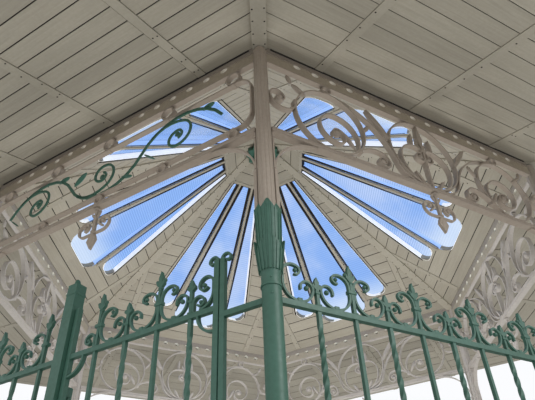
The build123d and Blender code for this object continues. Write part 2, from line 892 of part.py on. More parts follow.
with BuildPart() as railing:
    rail_z = deck_top + rail_height
    with BuildSketch(elevation(1)):
        rails(-rail_end, rail_end, rail_z)
    extrude(amount=rail_size / 2, both=True)
    with BuildSketch(elevation(1)):
        bars(bar_places, rail_z)
    extrude(amount=bar_size / 2, both=True)
    with BuildSketch(elevation(1)):
        cresting([-column_mark, *bar_places, column_mark], rail_z)
    extrude(amount=scroll_depth / 2, both=True)
save_round(railing.part, "railing", side_count - 1)

# Gate side: a long fixed length up to the square hinge post, then the gate, then a
# short fixed length between the latch post and column 1
gate_rail_z = deck_top + gate_rail_height
with BuildPart() as railing_hinge_side:
    hinge_bars = [x for x in bar_places if x < hinge_post_x - bar_step / 2]
    with BuildSketch(elevation(gate_side)):
        rails(-rail_end + joint_ring, hinge_post_x, gate_rail_z)
    extrude(amount=rail_size / 2, both=True)
    with BuildSketch(elevation(gate_side)):
        bars(hinge_bars, gate_rail_z, gate_tip_gain, 0)
    extrude(amount=bar_size / 2, both=True)
    with BuildSketch(elevation(gate_side)):
        cresting(hinge_bars, gate_rail_z, 0)
    extrude(amount=scroll_depth / 2, both=True)
    with BuildSketch(elevation(gate_side)):
        with Locations((hinge_post_x, deck_top)):
            post_top = gate_rail_height + hinge_post_over_rail
            Rectangle(hinge_post_size, post_top, align=(Align.CENTER, Align.MIN))
    extrude(amount=hinge_post_size / 2, both=True)
    pin_x = hinge_face_x + running_gap / 2
    for height in hinge_heights:
        with BuildSketch(level(gate_side, deck_top + height)):
            with Locations((pin_x, pin_offset)):
                Circle(knuckle_radius)
            with Locations((pin_x, (pin_offset + hinge_post_size / 2) / 2)):
                Rectangle(2 * knuckle_radius, pin_offset - hinge_post_size / 2)
        extrude(amount=-knuckle_height / 2)
        with BuildSketch(level(gate_side, deck_top + height)):
            with Locations((pin_x, pin_offset)):
                Circle(pin_radius)
        extrude(amount=knuckle_height + pin_radius)
save(railing_hinge_side.part, "railing_hinge_side")

with BuildPart() as railing_latch_side:
    with BuildSketch(elevation(gate_side)):
        rails(latch_post_x, rail_end, deck_top + rail_height)
    extrude(amount=rail_size / 2 - 1, both=True)
    with BuildSketch(elevation(gate_side)):
        with Locations((latch_post_x, deck_top)):
            Rectangle(latch_post_size, post_height, align=(Align.CENTER, Align.MIN))
    extrude(amount=latch_post_size / 2, both=True)
    with BuildSketch(elevation(gate_side)):
        ribbon(
            (latch_post_x - (latch_post_size - scroll_strip) / 2, deck_top + post_height - weld),
            (0, 1),
            [(crook_radius, -180), (crook_radius * 0.5, -150)],
            scroll_strip,
        )
    extrude(amount=scroll_depth / 2, both=True)
save(railing_latch_side.part, "railing_latch_side")

# Gate: one leaf of bars between two stiles, hung on the hinge post by two eyes, with
# quarter round brackets under its rail
with BuildPart() as gate:
    gate_bars = [x for x in bar_places if stile_low_x + stile_size < x < stile_high_x - stile_size]
    with BuildSketch(elevation(gate_side)):
        rails(stile_low_x + 1, stile_high_x - 1, gate_rail_z)
        for x, way in ((stile_low_x + stile_size, 1), (stile_high_x - stile_size, -1)):
            ribbon(
                (x - way * weld, gate_rail_z - rail_size / 2 - gate_bracket),
                (way, 0),
                [(gate_bracket, way * 90)],
                scroll_strip,
            )
    extrude(amount=rail_size / 2 - 1, both=True)
    with BuildSketch(elevation(gate_side)):
        bars(gate_bars, gate_rail_z, gate_tip_gain, 0)
    extrude(amount=bar_size / 2, both=True)
    with BuildSketch(elevation(gate_side)):
        cresting(gate_bars, gate_rail_z, 0)
        ribbon(
            (stile_high_x - (stile_size + scroll_strip) / 2 + scroll_strip, deck_top + post_height - weld),
            (0, 1),
            [(crook_radius, 180), (crook_radius * 0.5, 150)],
            scroll_strip,
        )
    extrude(amount=scroll_depth / 2, both=True)
    with BuildSketch(elevation(gate_side)):
        for x, height in (
            (stile_low_x + stile_size / 2, gate_rail_height + tall_tip),
            (stile_high_x - stile_size / 2, post_height),
        ):
            with Locations((x, deck_top + gate_foot)):
                Rectangle(stile_size, height - gate_foot, align=(Align.CENTER, Align.MIN))
    extrude(amount=stile_size / 2, both=True)
    for height in hinge_heights:
        with BuildSketch(level(gate_side, deck_top + height + seat_gap)):
            with Locations((pin_x, pin_offset)):
                Circle(knuckle_radius)
            with Locations((stile_low_x + knuckle_radius / 2, (pin_offset + stile_size / 2) / 2)):
                Rectangle(knuckle_radius, pin_offset - stile_size / 2)
            with Locations((pin_x, pin_offset)):
                Circle(pin_radius + pin_clearance, mode=Mode.SUBTRACT)
        extrude(amount=knuckle_height)
save(gate.part, "gate")
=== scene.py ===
import json
from math import atan2, ceil, cos, degrees, floor, hypot, pi, radians, sin, tan
import random

import bmesh
import bpy
from bpy.props import FloatProperty, FloatVectorProperty, IntProperty, PointerProperty
from mathutils import Matrix, Vector


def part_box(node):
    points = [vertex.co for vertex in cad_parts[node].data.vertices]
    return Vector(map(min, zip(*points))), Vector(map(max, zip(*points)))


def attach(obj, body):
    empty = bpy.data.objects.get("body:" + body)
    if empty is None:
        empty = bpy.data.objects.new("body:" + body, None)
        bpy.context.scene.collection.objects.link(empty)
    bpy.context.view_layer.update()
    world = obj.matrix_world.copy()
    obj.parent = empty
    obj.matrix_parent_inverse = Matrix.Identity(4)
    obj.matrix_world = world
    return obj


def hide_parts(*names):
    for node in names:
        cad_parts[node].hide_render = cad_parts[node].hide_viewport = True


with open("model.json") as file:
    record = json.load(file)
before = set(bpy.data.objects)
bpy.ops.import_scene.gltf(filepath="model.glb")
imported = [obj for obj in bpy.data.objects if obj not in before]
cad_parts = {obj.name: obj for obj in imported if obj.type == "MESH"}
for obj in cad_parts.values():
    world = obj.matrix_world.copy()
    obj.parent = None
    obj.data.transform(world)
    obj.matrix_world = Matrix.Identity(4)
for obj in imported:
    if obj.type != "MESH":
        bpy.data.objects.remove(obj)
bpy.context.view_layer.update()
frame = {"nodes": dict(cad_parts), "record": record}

bl_info = {
    "name": "Bandstand dressing",
    "version": (1, 0, 0),
    "blender": (4, 5, 0),
    "location": "View3D > Sidebar > Bandstand",
    "description": "Boards, scrollwork, paint and glazing for the packed bandstand frame",
    "category": "Object",
}

# Plan of the frame, in metres
SIDES = range(1, 7)
CIRCLE = 3.165
APOTHEM = CIRCLE * cos(pi / 6)
DECK_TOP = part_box("deck")[1].z
FASCIA_OUTER = APOTHEM + 0.03
ROOF_RISE = 2.072
PLATE_Z = 5.087
APEX_Z = PLATE_Z + ROOF_RISE
ROOF_PITCH = atan2(ROOF_RISE, APOTHEM - 0.03)
EAVES_PITCH = radians(15.6)
COLLAR_TOP = 3.508
FASCIA_LOW = PLATE_Z - 0.167
CHORD_TOP = DECK_TOP + 2.512

# Scrolls of the friezes, as shares of the frame's own sizes
STRIP = 0.013
FLOOR_LINE = CHORD_TOP - 0.004 + STRIP / 2
RING = (FASCIA_LOW - STRIP + 0.004 - CHORD_TOP + 0.004 - STRIP) / 2
RING_MIDDLE = FLOOR_LINE + RING
CIRCLE_R = RING * 0.88
CIRCLE_X = (CIRCLE / 2 - 0.0543) * 0.636
CIRCLE_Z = FLOOR_LINE + CIRCLE_R

# How far the board joints of each side have opened, as shares of the gap
JOINT_WEAR = (0.84, 1.1, 1.2, 0.9, 1.15, 1.3)

# Middle and half size of the fascia's slots, by distance from the middle and by height
SLOT_DEPTH = (APOTHEM - 0.004, 0.0245)
SLOT_HEIGHT = (FASCIA_LOW + 0.0835, 0.025)

# Skylights: lean of the bars and of the outer edges in degrees, half the bars' width
# in degrees, and where the bars and the panes begin down the slope
BAR_LEAN, EDGE_LEAN, BAR_HALF = 8.1, 15.6, 0.9
BAR_TOP, PANE_TOP = 0.66, 0.717

# Columns: radius of the shafts, swell of the collar's leaves, how far the rim of the upper
# tier draws in again, and the share of its height that it keeps
SHAFT, SWELL, RIM_DRAWN, TIER_SHARE = 0.0565, 1.12, 0.17, 0.79

# How far the lead and its hip rolls reach beyond the fascia
LEAD_REACH, ROLL_REACH = 1.552, 1.525

# Railing bars
BAR_STEP = (CIRCLE - 0.602) / 10
BARS = [0.301 - CIRCLE / 2 + BAR_STEP * place for place in range(11)]
RAIL_Z = DECK_TOP + 1.150
GATE_RAIL_Z = DECK_TOP + 1.205
LOW_RAIL_Z = DECK_TOP + 0.150
RAIL_HALF = 0.017
HINGE_POST = CIRCLE / 2 - 1.630
GATE_STILE = CIRCLE / 2 - 0.325 - 0.016 - 0.008 - 0.036
GATE_STRIP = (0.014, 0.028)
UP = Vector((0, 0, 1))


def length(name, description, default):
    return FloatProperty(name=name, description=description, default=default, unit="LENGTH")


def colour(name, description, default):
    return FloatVectorProperty(
        name=name, description=description, subtype="COLOR", size=3, default=default, min=0, max=1)


class BandstandSizes(bpy.types.PropertyGroup):
    """Sizes that a user may change before running the operators."""

    board_width: length("Board width", "Pitch of the ceiling boards", 0.172)
    board_gap: length("Board gap", "Open joint between two boards", 0.009)
    board_thickness: length("Board thickness", "How far the boards stand below the slab", 0.006)
    stone_course: length("Stone course", "Height of a masonry course", 0.268)
    stone_joint: length("Stone joint", "Width of the mortar joints", 0.014)
    seed: IntProperty(
        name="Seed", description="Seed for nail heads and the lengths of stones and lead", default=7)


class BandstandColours(bpy.types.PropertyGroup):
    """Paint and stone colours."""

    pale_paint: colour("Pale paint", "Paint of the boards", (0.42, 0.385, 0.31))
    pale_iron: colour("Pale iron", "Paint of the upper ironwork", (0.35, 0.295, 0.24))
    green_paint: colour("Green paint", "Paint of the railing and lower columns", (0.045, 0.126, 0.091))
    glazing: colour("Glazing", "Tint of the skylight panes", (0.30, 0.50, 0.93))
    stone: colour("Stone", "Dressed stone of the plinth", (0.44, 0.40, 0.34))


# Node tools


def rgba(colour, share=1.0):
    """A colour of three parts, scaled, with full opacity."""
    return (*(part * share for part in colour), 1)


def node(tree, kind, place, sockets=None, **settings):
    """Adds a shader node; sockets maps its inputs to values or to the sockets that feed them."""
    made = tree.nodes.new("ShaderNode" + kind)
    made.location = place
    for key, value in settings.items():
        setattr(made, key, value)
    for key, value in (sockets or {}).items():
        if isinstance(value, bpy.types.NodeSocket):
            tree.links.new(value, made.inputs[key])
        else:
            made.inputs[key].default_value = value
    return made


def maths(tree, operation, place, *values):
    """The output of a Math node of up to three numbers or sockets."""
    return node(tree, "Math", place, dict(enumerate(values)), operation=operation).outputs[0]


def remap(tree, place, value, span, to=(0.0, 1.0), kind="LINEAR"):
    """The output of a Map Range node from one span to another."""
    sockets = {
        "Value": value, "From Min": span[0], "From Max": span[1], "To Min": to[0], "To Max": to[1]}
    return node(tree, "MapRange", place, sockets, interpolation_type=kind).outputs["Result"]


def blend(tree, place, factor, first, second, kind="MIX"):
    """The output of a Mix node of two colours."""
    sockets = {"Factor": factor, "A": first, "B": second}
    return node(tree, "Mix", place, sockets, data_type="RGBA", blend_type=kind).outputs["Result"]


def noise(tree, place, vector, scale, detail, distortion=0.0):
    """The output of a Noise texture."""
    sockets = {"Vector": vector, "Scale": scale, "Detail": detail, "Distortion": distortion}
    return node(tree, "TexNoise", place, sockets).outputs["Fac"]


def relief(tree, height, strength, distance):
    """Gives a material's surface a bump."""
    sockets = {"Height": height, "Strength": strength, "Distance": distance}
    bump = node(tree, "Bump", (-350, -250), sockets)
    tree.links.new(bump.outputs["Normal"], tree.nodes["Principled BSDF"].inputs["Normal"])


def group_shell(name, inputs, outputs):
    """An empty shader group with named sockets, as (tree, input node, output node)."""
    tree = bpy.data.node_groups.new(name, "ShaderNodeTree")
    for label, kind, value in inputs:
        socket = tree.interface.new_socket(name=label, in_out="INPUT", socket_type=kind)
        if value is not None:
            socket.default_value = value
    for label, kind in outputs:
        tree.interface.new_socket(name=label, in_out="OUTPUT", socket_type=kind)
    first, last = tree.nodes.new("NodeGroupInput"), tree.nodes.new("NodeGroupOutput")
    first.location, last.location = (-900, 0), (700, 0)
    return tree, first, last


def group_paint_age():
    """Uneven old paint: a large tone shift, fine mottling and small flakes."""
    tree, inp, out = group_shell(
        "paint_age",
        [("Vector", "NodeSocketVector", None), ("Colour", "NodeSocketColor", None),
         ("Dirt", "NodeSocketColor", None), ("Amount", "NodeSocketFloat", 0.4)],
        [("Colour", "NodeSocketColor"), ("Roughness", "NodeSocketFloat"), ("Height", "NodeSocketFloat")])
    given = inp.outputs
    large = noise(tree, (-600, 250), given["Vector"], 1.7, 4)
    fine = noise(tree, (-600, 0), given["Vector"], 38, 5)
    flake = node(tree, "TexVoronoi", (-600, -260), {"Vector": given["Vector"], "Scale": 24})
    scaled = maths(tree, "MULTIPLY", (-380, 330), large, 0.6)
    tone = maths(tree, "MULTIPLY_ADD", (-380, 150), fine, 0.55, scaled)
    span = remap(tree, (-180, 150), tone, (0.42, 0.78))
    weight = maths(tree, "MULTIPLY", (20, 100), span, given["Amount"])
    for label, value in (
        ("Colour", blend(tree, (250, 150), weight, given["Colour"], given["Dirt"])),
        ("Roughness", remap(tree, (250, -80), tone, (0, 1), (0.42, 0.72))),
        ("Height", maths(tree, "ADD", (250, -320), fine, flake.outputs["Distance"])),
    ):
        tree.links.new(value, out.inputs[label])


def group_grain():
    """Wood grain along the first axis of its vector, with a tone of its own per board."""
    tree, inp, out = group_shell(
        "grain",
        [("Vector", "NodeSocketVector", None), ("Pitch", "NodeSocketFloat", 0.172)],
        [("Board", "NodeSocketFloat"), ("Grain", "NodeSocketFloat")])
    vector = inp.outputs["Vector"]
    stretch = node(tree, "Mapping", (-650, 100), {"Vector": vector, "Scale": (1.2, 26, 1)})
    grain = noise(tree, (-420, 100), stretch.outputs["Vector"], 2.2, 6, 0.7)
    split = node(tree, "SeparateXYZ", (-650, -200), {0: vector}).outputs
    row = maths(tree, "DIVIDE", (-420, -160), split["Y"], inp.outputs["Pitch"])
    run = maths(tree, "DIVIDE", (-420, -330), split["X"], 2.3)
    cell = node(tree, "CombineXYZ", (-60, -200), {
        "X": maths(tree, "FLOOR", (-240, -330), run), "Y": maths(tree, "FLOOR", (-240, -160), row)})
    tone = node(
        tree, "TexWhiteNoise", (130, -200), {"Vector": cell.outputs[0]}, noise_dimensions="3D")
    tree.links.new(tone.outputs["Value"], out.inputs["Board"])
    tree.links.new(grain, out.inputs["Grain"])


def shader(name):
    """A new material, as (material, tree, its Principled node)."""
    material = bpy.data.materials.new(name)
    material.use_nodes = True
    tree = material.node_tree
    return material, tree, tree.nodes["Principled BSDF"]


def coordinates(tree, uv=False):
    """The coordinate output that a material follows: its own UV map or Object."""
    if uv:
        return node(tree, "UVMap", (-1300, 0), uv_map="along").outputs["UV"]
    return node(tree, "TexCoord", (-1300, 0)).outputs["Object"]


def along_axis(tree, axis, place):
    """One of the object's coordinates."""
    return node(tree, "SeparateXYZ", place, {0: coordinates(tree)}).outputs[axis]


def aged_paint(name, colour, dirt, amount, roughness_shift=0.0, bump=0.15, uv=False, grain=0.0):
    """Old gloss or matt paint on iron or, with grain, on boards."""
    material, tree, bsdf = shader(name)
    source = coordinates(tree, uv)
    paint, groups = rgba(colour), bpy.data.node_groups
    if grain:
        wood = node(tree, "Group", (-1000, -200), node_tree=groups["grain"])
        tree.links.new(source, wood.inputs["Vector"])
        tone = remap(
            tree, (-900, 250), wood.outputs["Board"], (0, 1), (1 - grain, 1 + grain * 0.6))
        streak = remap(tree, (-900, 480), wood.outputs["Grain"], (0.3, 0.7), (0.9, 1.05))
        both = maths(tree, "MULTIPLY", (-720, 380), tone, streak)
        paint = node(
            tree, "VectorMath", (-540, 380), {0: colour, "Scale": both}, operation="SCALE").outputs[0]
    age = node(tree, "Group", (-700, 100), {
        "Vector": source, "Colour": paint, "Dirt": rgba(dirt), "Amount": amount,
    }, node_tree=groups["paint_age"]).outputs
    gloss = maths(tree, "ADD", (-350, -50), age["Roughness"], roughness_shift)
    tree.links.new(age["Colour"], bsdf.inputs["Base Color"])
    tree.links.new(gloss, bsdf.inputs["Roughness"])
    relief(tree, wood.outputs["Grain"] if grain else age["Height"], bump, 0.002)
    return material


def stone_material(name, colour, scale=1.0, toned=False):
    """Dressed stone: soft clouds, fine grit and pits; toned adds each stone's own shade."""
    material, tree, bsdf = shader(name)
    source = coordinates(tree)
    cloud = noise(tree, (-900, 200), source, 2.3 * scale, 8)
    grit = noise(tree, (-900, -50), source, 140 * scale, 3)
    ramp = node(tree, "ValToRGB", (-650, 250), {"Fac": cloud})
    for stop, place, share in zip(ramp.color_ramp.elements, (0.32, 0.68), (0.72, 1.12)):
        stop.position = place
        stop.color = [min(1, part) for part in rgba(colour, share)]
    shade = remap(tree, (-650, -50), grit, (0.3, 0.7), (0.8, 1.1))
    if toned:
        own = node(tree, "Attribute", (-650, -300), attribute_name="tone")
        shade = maths(tree, "MULTIPLY", (-500, -100), shade, own.outputs["Fac"])
    sockets = {0: ramp.outputs["Color"], "Scale": shade}
    tint = node(tree, "VectorMath", (-380, 150), sockets, operation="SCALE")
    tree.links.new(tint.outputs[0], bsdf.inputs["Base Color"])
    bsdf.inputs["Roughness"].default_value = 0.86
    relief(tree, grit, 0.45, 0.003)
    return material


def side_distance(tree, source):
    """The distance from the middle, square to the nearest side."""
    sizes = []
    for number in range(3):
        a = side_angle(number + 1)
        down = -100 - 160 * number
        dot = node(
            tree, "VectorMath", (-1100, down), {0: source, 1: (cos(a), sin(a), 0)},
            operation="DOT_PRODUCT")
        sizes.append(maths(tree, "ABSOLUTE", (-930, down), dot.outputs["Value"]))
    most = maths(tree, "MAXIMUM", (-760, -260), sizes[0], sizes[1])
    return maths(tree, "MAXIMUM", (-760, -420), most, sizes[2])


def glazing_material(name, colour):
    """Blue tinted glazing with fine dark ribs across the slope."""
    material, tree, bsdf = shader(name)
    source = coordinates(tree)
    cloud = noise(tree, (-900, 300), source, 0.9, 5)
    haze = remap(tree, (-700, 300), cloud, (0.44, 0.66), kind="SMOOTHSTEP")
    pale = rgba([part * 0.7 + 0.30 for part in colour])
    sky = blend(tree, (-500, 300), haze, rgba(colour), pale)
    distance = side_distance(tree, source)
    turns = maths(tree, "DIVIDE", (-580, -200), distance, 0.026)
    part = maths(tree, "FRACT", (-420, -200), turns)
    rib = maths(tree, "LESS_THAN", (-260, -200), part, 0.35)
    lined = blend(tree, (-250, 200), rib, sky, (0.76, 0.83, 0.93, 1), "MULTIPLY")
    # The low end of each pane catches the light
    low_end = remap(tree, (-260, -420), distance, (2.02, 2.46), (0.0, 0.6), "SMOOTHSTEP")
    glow = blend(tree, (-60, 200), low_end, lined, (0.86, 0.95, 1.0, 1))
    tree.links.new(glow, bsdf.inputs["Base Color"])
    bsdf.inputs["Roughness"].default_value = 0.1
    bsdf.inputs["IOR"].default_value = 1.1
    bsdf.inputs["Transmission Weight"].default_value = 1.0
    return material


def paint_of(tree):
    """The group node that ages a material's paint."""
    return next(n for n in tree.nodes if n.type == "GROUP")


def banded(name, low, high, height, soft=0.004):
    """One aged colour below a height and another above it."""
    material = aged_paint(name, low, rgba(low, 0.5)[:3], 0.45, -0.05, 0.25)
    tree = material.node_tree
    age = paint_of(tree)
    level = along_axis(tree, "Z", (-1120, 400))
    edge = remap(tree, (-950, 400), level, (height - soft, height + soft))
    for label, place, under, over in (("Colour", 400, 1, 1), ("Dirt", 650, 0.5, 0.55)):
        mixed = blend(tree, (-780, place), edge, rgba(low, under), rgba(high, over))
        tree.links.new(mixed, age.inputs[label])
    return material


def slot_reveals(material, colour):
    """Paints the walls of the fascia's slots pale: a painted highlight where light from below and behind
    falls on them.
    """
    tree = material.node_tree
    age = paint_of(tree)
    depth = side_distance(tree, coordinates(tree))
    height = along_axis(tree, "Z", (-1120, 900))
    within = [
        maths(tree, "COMPARE", (-600, down), value, middle, half)
        for down, value, (middle, half) in ((900, depth, SLOT_DEPTH), (700, height, SLOT_HEIGHT))]
    factor = maths(tree, "MULTIPLY", (-400, 800), *within)
    # Pale colour on the slot walls: painted highlight
    paint = blend(tree, (-200, 600), factor, age.outputs["Colour"], rgba(colour))
    tree.links.new(paint, tree.nodes["Principled BSDF"].inputs["Base Color"])


def sunlit_behind(material, gain):
    """Makes a material paler behind the front corners: painted sunlight where the sun reaches it."""
    tree = material.node_tree
    target = tree.nodes["Principled BSDF"].inputs["Base Color"]
    span = (-CIRCLE / 2 - 0.1, -CIRCLE / 2 + 0.1)
    place = along_axis(tree, "Y", (-400, 1100))
    back = remap(tree, (-200, 1100), place, span, kind="SMOOTHSTEP")
    paler = blend(tree, (0, 900), back, target.links[0].from_socket, rgba(gain), "MULTIPLY")
    tree.links.new(paler, target)


# Mesh tools


def only(parts, kind):
    return [part for part in parts if isinstance(part, kind)]


def side_angle(side):
    return radians(-60 + 60 * (side - 1))


def side_axes(side):
    """(outwards, along the side counterclockwise), both level."""
    a = side_angle(side)
    return Vector((cos(a), sin(a), 0)), Vector((-sin(a), cos(a), 0))


def side_frame(side):
    """Local axes of one side: x along it counterclockwise, y inwards, z up."""
    out, along = side_axes(side)
    return Matrix.Translation(out * APOTHEM) @ Matrix((along, -out, UP)).transposed().to_4x4()


def slope_axes(side, pitch):
    """(along the side, down the slope, outward normal of its upper face) of a slope."""
    a = side_angle(side)
    along = side_axes(side)[1]
    down = Vector((cos(pitch) * cos(a), cos(pitch) * sin(a), -sin(pitch)))
    normal = Vector((sin(pitch) * cos(a), sin(pitch) * sin(a), cos(pitch)))
    return along, down, normal


def finish_of(name):
    return bpy.data.materials[name]


def finish_piece(bm, name, finish, body="structure", replaces=(), smooth=None):
    """Turns a bmesh into a named piece with its finish, riding on a body."""
    mesh = bpy.data.meshes.new(name)
    if smooth is not None:
        bmesh.ops.remove_doubles(bm, verts=bm.verts, dist=1e-6)
        for face in bm.faces:
            face.smooth = True
        for edge in bm.edges:
            edge.smooth = len(edge.link_faces) == 2 and edge.calc_face_angle(0) < smooth
    bm.to_mesh(mesh)
    bm.free()
    piece = bpy.data.objects.new(name, mesh)
    bpy.context.scene.collection.objects.link(piece)
    mesh.materials.append(finish_of(finish))
    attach(piece, body)
    if replaces:
        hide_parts(*replaces)
    return piece


def cad_mesh(name):
    """The mesh of a CAD node, as a bmesh with its corners merged."""
    bm = bmesh.new()
    bm.from_mesh(frame["nodes"][name].data)
    bmesh.ops.remove_doubles(bm, verts=bm.verts, dist=1e-5)
    bm.normal_update()
    return bm


def drop_faces(bm, faces):
    bmesh.ops.delete(bm, geom=faces, context="FACES")


def flat_faces(name, normal, same=0.999):
    """The faces of a CAD node that look along a normal, as a bmesh of their own."""
    bm = cad_mesh(name)
    drop_faces(bm, [f for f in bm.faces if f.normal.dot(normal) < same])
    return bm


def merge_flat(bm, **options):
    """Merges the faces that lie in one plane."""
    bmesh.ops.dissolve_limit(bm, angle_limit=radians(1), verts=bm.verts, edges=bm.edges, **options)


def draw_in(bm, distance):
    """Draws the rim of flat faces inwards by a distance."""
    rim = bmesh.ops.inset_region(
        bm, faces=bm.faces[:], thickness=distance, use_boundary=True, use_even_offset=True)
    drop_faces(bm, rim["faces"])


def thicken(bm, lift):
    """Turns flat faces into a closed plate by lifting a copy of them."""
    raised = bmesh.ops.extrude_face_region(bm, geom=bm.faces[:], use_keep_orig=True)["geom"]
    bmesh.ops.translate(bm, vec=lift, verts=only(raised, bmesh.types.BMVert))
    bmesh.ops.recalc_face_normals(bm, faces=bm.faces)


def cut(bm, faces, point, normal):
    """Cuts some faces with a plane and marks the new edges as seams."""
    geom = set(faces)
    for face in faces:
        geom.update(face.verts)
        geom.update(face.edges)
    made = bmesh.ops.bisect_plane(bm, geom=list(geom), dist=1e-6, plane_co=point, plane_no=normal)
    for edge in only(made["geom_cut"], bmesh.types.BMEdge):
        edge.seam = True


def lay_rows(bm, origin, across, along, pitch, lengths, gap, thickness, rng):
    """Cuts flat faces into rows of boards or stones with open joints, and makes them solid.

    The rows lie along one direction and repeat across another. lengths gives the
    shortest and longest piece of a row, or None for unbroken rows.
    """

    def in_row(row):
        spots = ((f, (f.calc_center_median() - origin).dot(across)) for f in bm.faces)
        return [face for face, spot in spots if row * pitch < spot < (row + 1) * pitch]

    seen = [(v.co - origin).dot(across) for v in bm.verts]
    first, last = floor(min(seen) / pitch), ceil(max(seen) / pitch)
    for row in range(first + 1, last):
        cut(bm, bm.faces[:], origin + across * row * pitch, across)
    for row in range(first, last):
        members = in_row(row)
        if lengths is None or not members:
            continue
        spots = [(v.co - origin).dot(along) for f in members for v in f.verts]
        place = min(spots) - rng.uniform(0, lengths[0])
        while place < max(spots):
            cut(bm, [f for f in members if f.is_valid], origin + along * place, along)
            members = in_row(row)
            place += rng.uniform(*lengths)
    merge_flat(bm, use_dissolve_boundaries=False, delimit={"SEAM"})
    bmesh.ops.split_edges(bm, edges=[e for e in bm.edges if e.seam])
    draw_in(bm, gap / 2)
    layer = bm.loops.layers.uv.new("along")
    tones = bm.loops.layers.float_color.new("tone")
    own_shade = random.Random(len(bm.faces))
    for face in bm.faces:
        tone = own_shade.uniform(0.80, 1.12)
        for loop in face.loops:
            spot = loop.vert.co - origin
            loop[layer].uv = (spot.dot(along), spot.dot(across))
            loop[tones] = (tone, tone, tone, 1)
    bm.normal_update()
    thicken(bm, bm.faces[:][0].normal * thickness)


def under_sheet(bm, lift):
    """A thin closed sheet under a layer of boards or stones, a little inside its edges."""
    sheet = bm.copy()
    draw_in(sheet, 0.002)
    thicken(sheet, lift)
    return sheet


def nail_rows(bm, face, step, inset, share, rng):
    """Small nail heads along both long edges of a strip's flat face."""
    longest = max(face.edges, key=lambda e: e.calc_length())
    run = (longest.verts[1].co - longest.verts[0].co).normalized()
    across = face.normal.cross(run)
    middle = face.calc_center_median()
    reach = [(v.co - middle).dot(run) for v in face.verts]
    width = [(v.co - middle).dot(across) for v in face.verts]
    turn = face.normal.to_track_quat("Z", "Y").to_matrix().to_4x4()
    for edge in (min(width) + inset, max(width) - inset):
        place = min(reach) + step / 2
        while place < max(reach):
            if rng.random() < share:
                spot = middle + run * (place + rng.uniform(-0.01, 0.01)) + across * edge
                bmesh.ops.create_cone(
                    bm, cap_ends=True, segments=6, radius1=0.0085, radius2=0.007, depth=0.003,
                    matrix=Matrix.Translation(spot) @ turn)
            place += step


def join(bm, other):
    """Adds another bmesh to this one and frees it."""
    mesh = bpy.data.meshes.new("joined")
    other.to_mesh(mesh)
    other.free()
    bm.from_mesh(mesh)
    bpy.data.meshes.remove(mesh)


def repeat_round(bm, sides=6):
    """Copies what stands on side 1 to the next sides."""
    bmesh.ops.spin(
        bm, geom=bm.verts[:] + bm.edges[:] + bm.faces[:], cent=(0, 0, 0), axis=(0, 0, 1),
        dvec=(0, 0, 0), angle=radians(60 * (sides - 1)), steps=sides - 1, use_duplicate=True)


def stick(bm, start, end, width, depth, out, bevel=0.0):
    """A square bar between two points; out is the direction of its depth."""
    start, end, out = Vector(start), Vector(end), Vector(out).normalized()
    run = end - start
    axis = run.normalized()
    across = axis.cross(out).normalized()
    out = across.cross(axis)
    place = Matrix.Translation((start + end) / 2) @ Matrix(
        (across * width, out * depth, axis * run.length)).transposed().to_4x4()
    made = bmesh.ops.create_cube(bm, size=1.0, matrix=place)
    if bevel:
        edges = {e for v in made["verts"] for e in v.link_edges}
        bmesh.ops.bevel(
            bm, geom=list(edges), offset=bevel, offset_type="OFFSET", segments=2, profile=0.5,
            affect="EDGES", material=-1)


def upright(bm, x, low, high, width, depth, bevel):
    """An upright bar in a side's own plane."""
    stick(bm, (x, 0, low), (x, 0, high), width, depth, (0, 1, 0), bevel)


def tie(bm, x, z, width, height, depth=0.054):
    """A small cast band round two bars that touch."""
    stick(bm, (x - width / 2, 0, z), (x + width / 2, 0, z), height, depth, (0, 1, 0), 0.003)


def bead(bm, place, size, turn=None):
    """A rounded boss, leaf or petal: a ball stretched to three half sizes."""
    matrix = Matrix.Translation(place) @ (turn or Matrix()) @ Matrix.Diagonal((*size, 1))
    bmesh.ops.create_icosphere(bm, subdivisions=2, radius=1.0, matrix=matrix)


def leaf(bm, foot, tip, width, depth):
    """A swelling leaf between two points of a side's own plane (x, y, z)."""
    foot, tip = Vector(foot), Vector(tip)
    run = tip - foot
    turn = run.to_track_quat("Z", "Y").to_matrix().to_4x4()
    bead(bm, (foot + tip) / 2, (width / 2, depth / 2, run.length / 2), turn)


def walk(start, heading, turns):
    """Follows tangent arcs in a side's plane: yields (angle, centre, radius, turn)."""
    x, z = start
    angle = atan2(heading[1], heading[0])
    for radius, degrees_turned in turns:
        turn = radians(degrees_turned)
        if not degrees_turned:
            yield angle, None, radius, 0.0
            x, z = x + radius * cos(angle), z + radius * sin(angle)
            continue
        hand = 1 if turn > 0 else -1
        centre = (x - hand * radius * sin(angle), z + hand * radius * cos(angle))
        yield angle, centre, radius, turn
        angle += turn
        x, z = centre[0] + hand * radius * sin(angle), centre[1] - hand * radius * cos(angle)


def square_ring(bm, half, place):
    """A ring of four edges, square to its own Z axis, as the parts to spin or extrude."""
    ring = bmesh.ops.create_circle(bm, cap_ends=False, radius=half * 2 ** 0.5, segments=4)["verts"]
    bmesh.ops.transform(bm, matrix=place @ Matrix.Rotation(pi / 4, 4, "Z"), verts=ring)
    return ring + list({e for v in ring for e in v.link_edges})


def scroll_eye(start, heading, turns):
    """The middle of a scroll's last arc."""
    x, z = list(walk(start, heading, turns))[-1][1]
    return x, 0, z


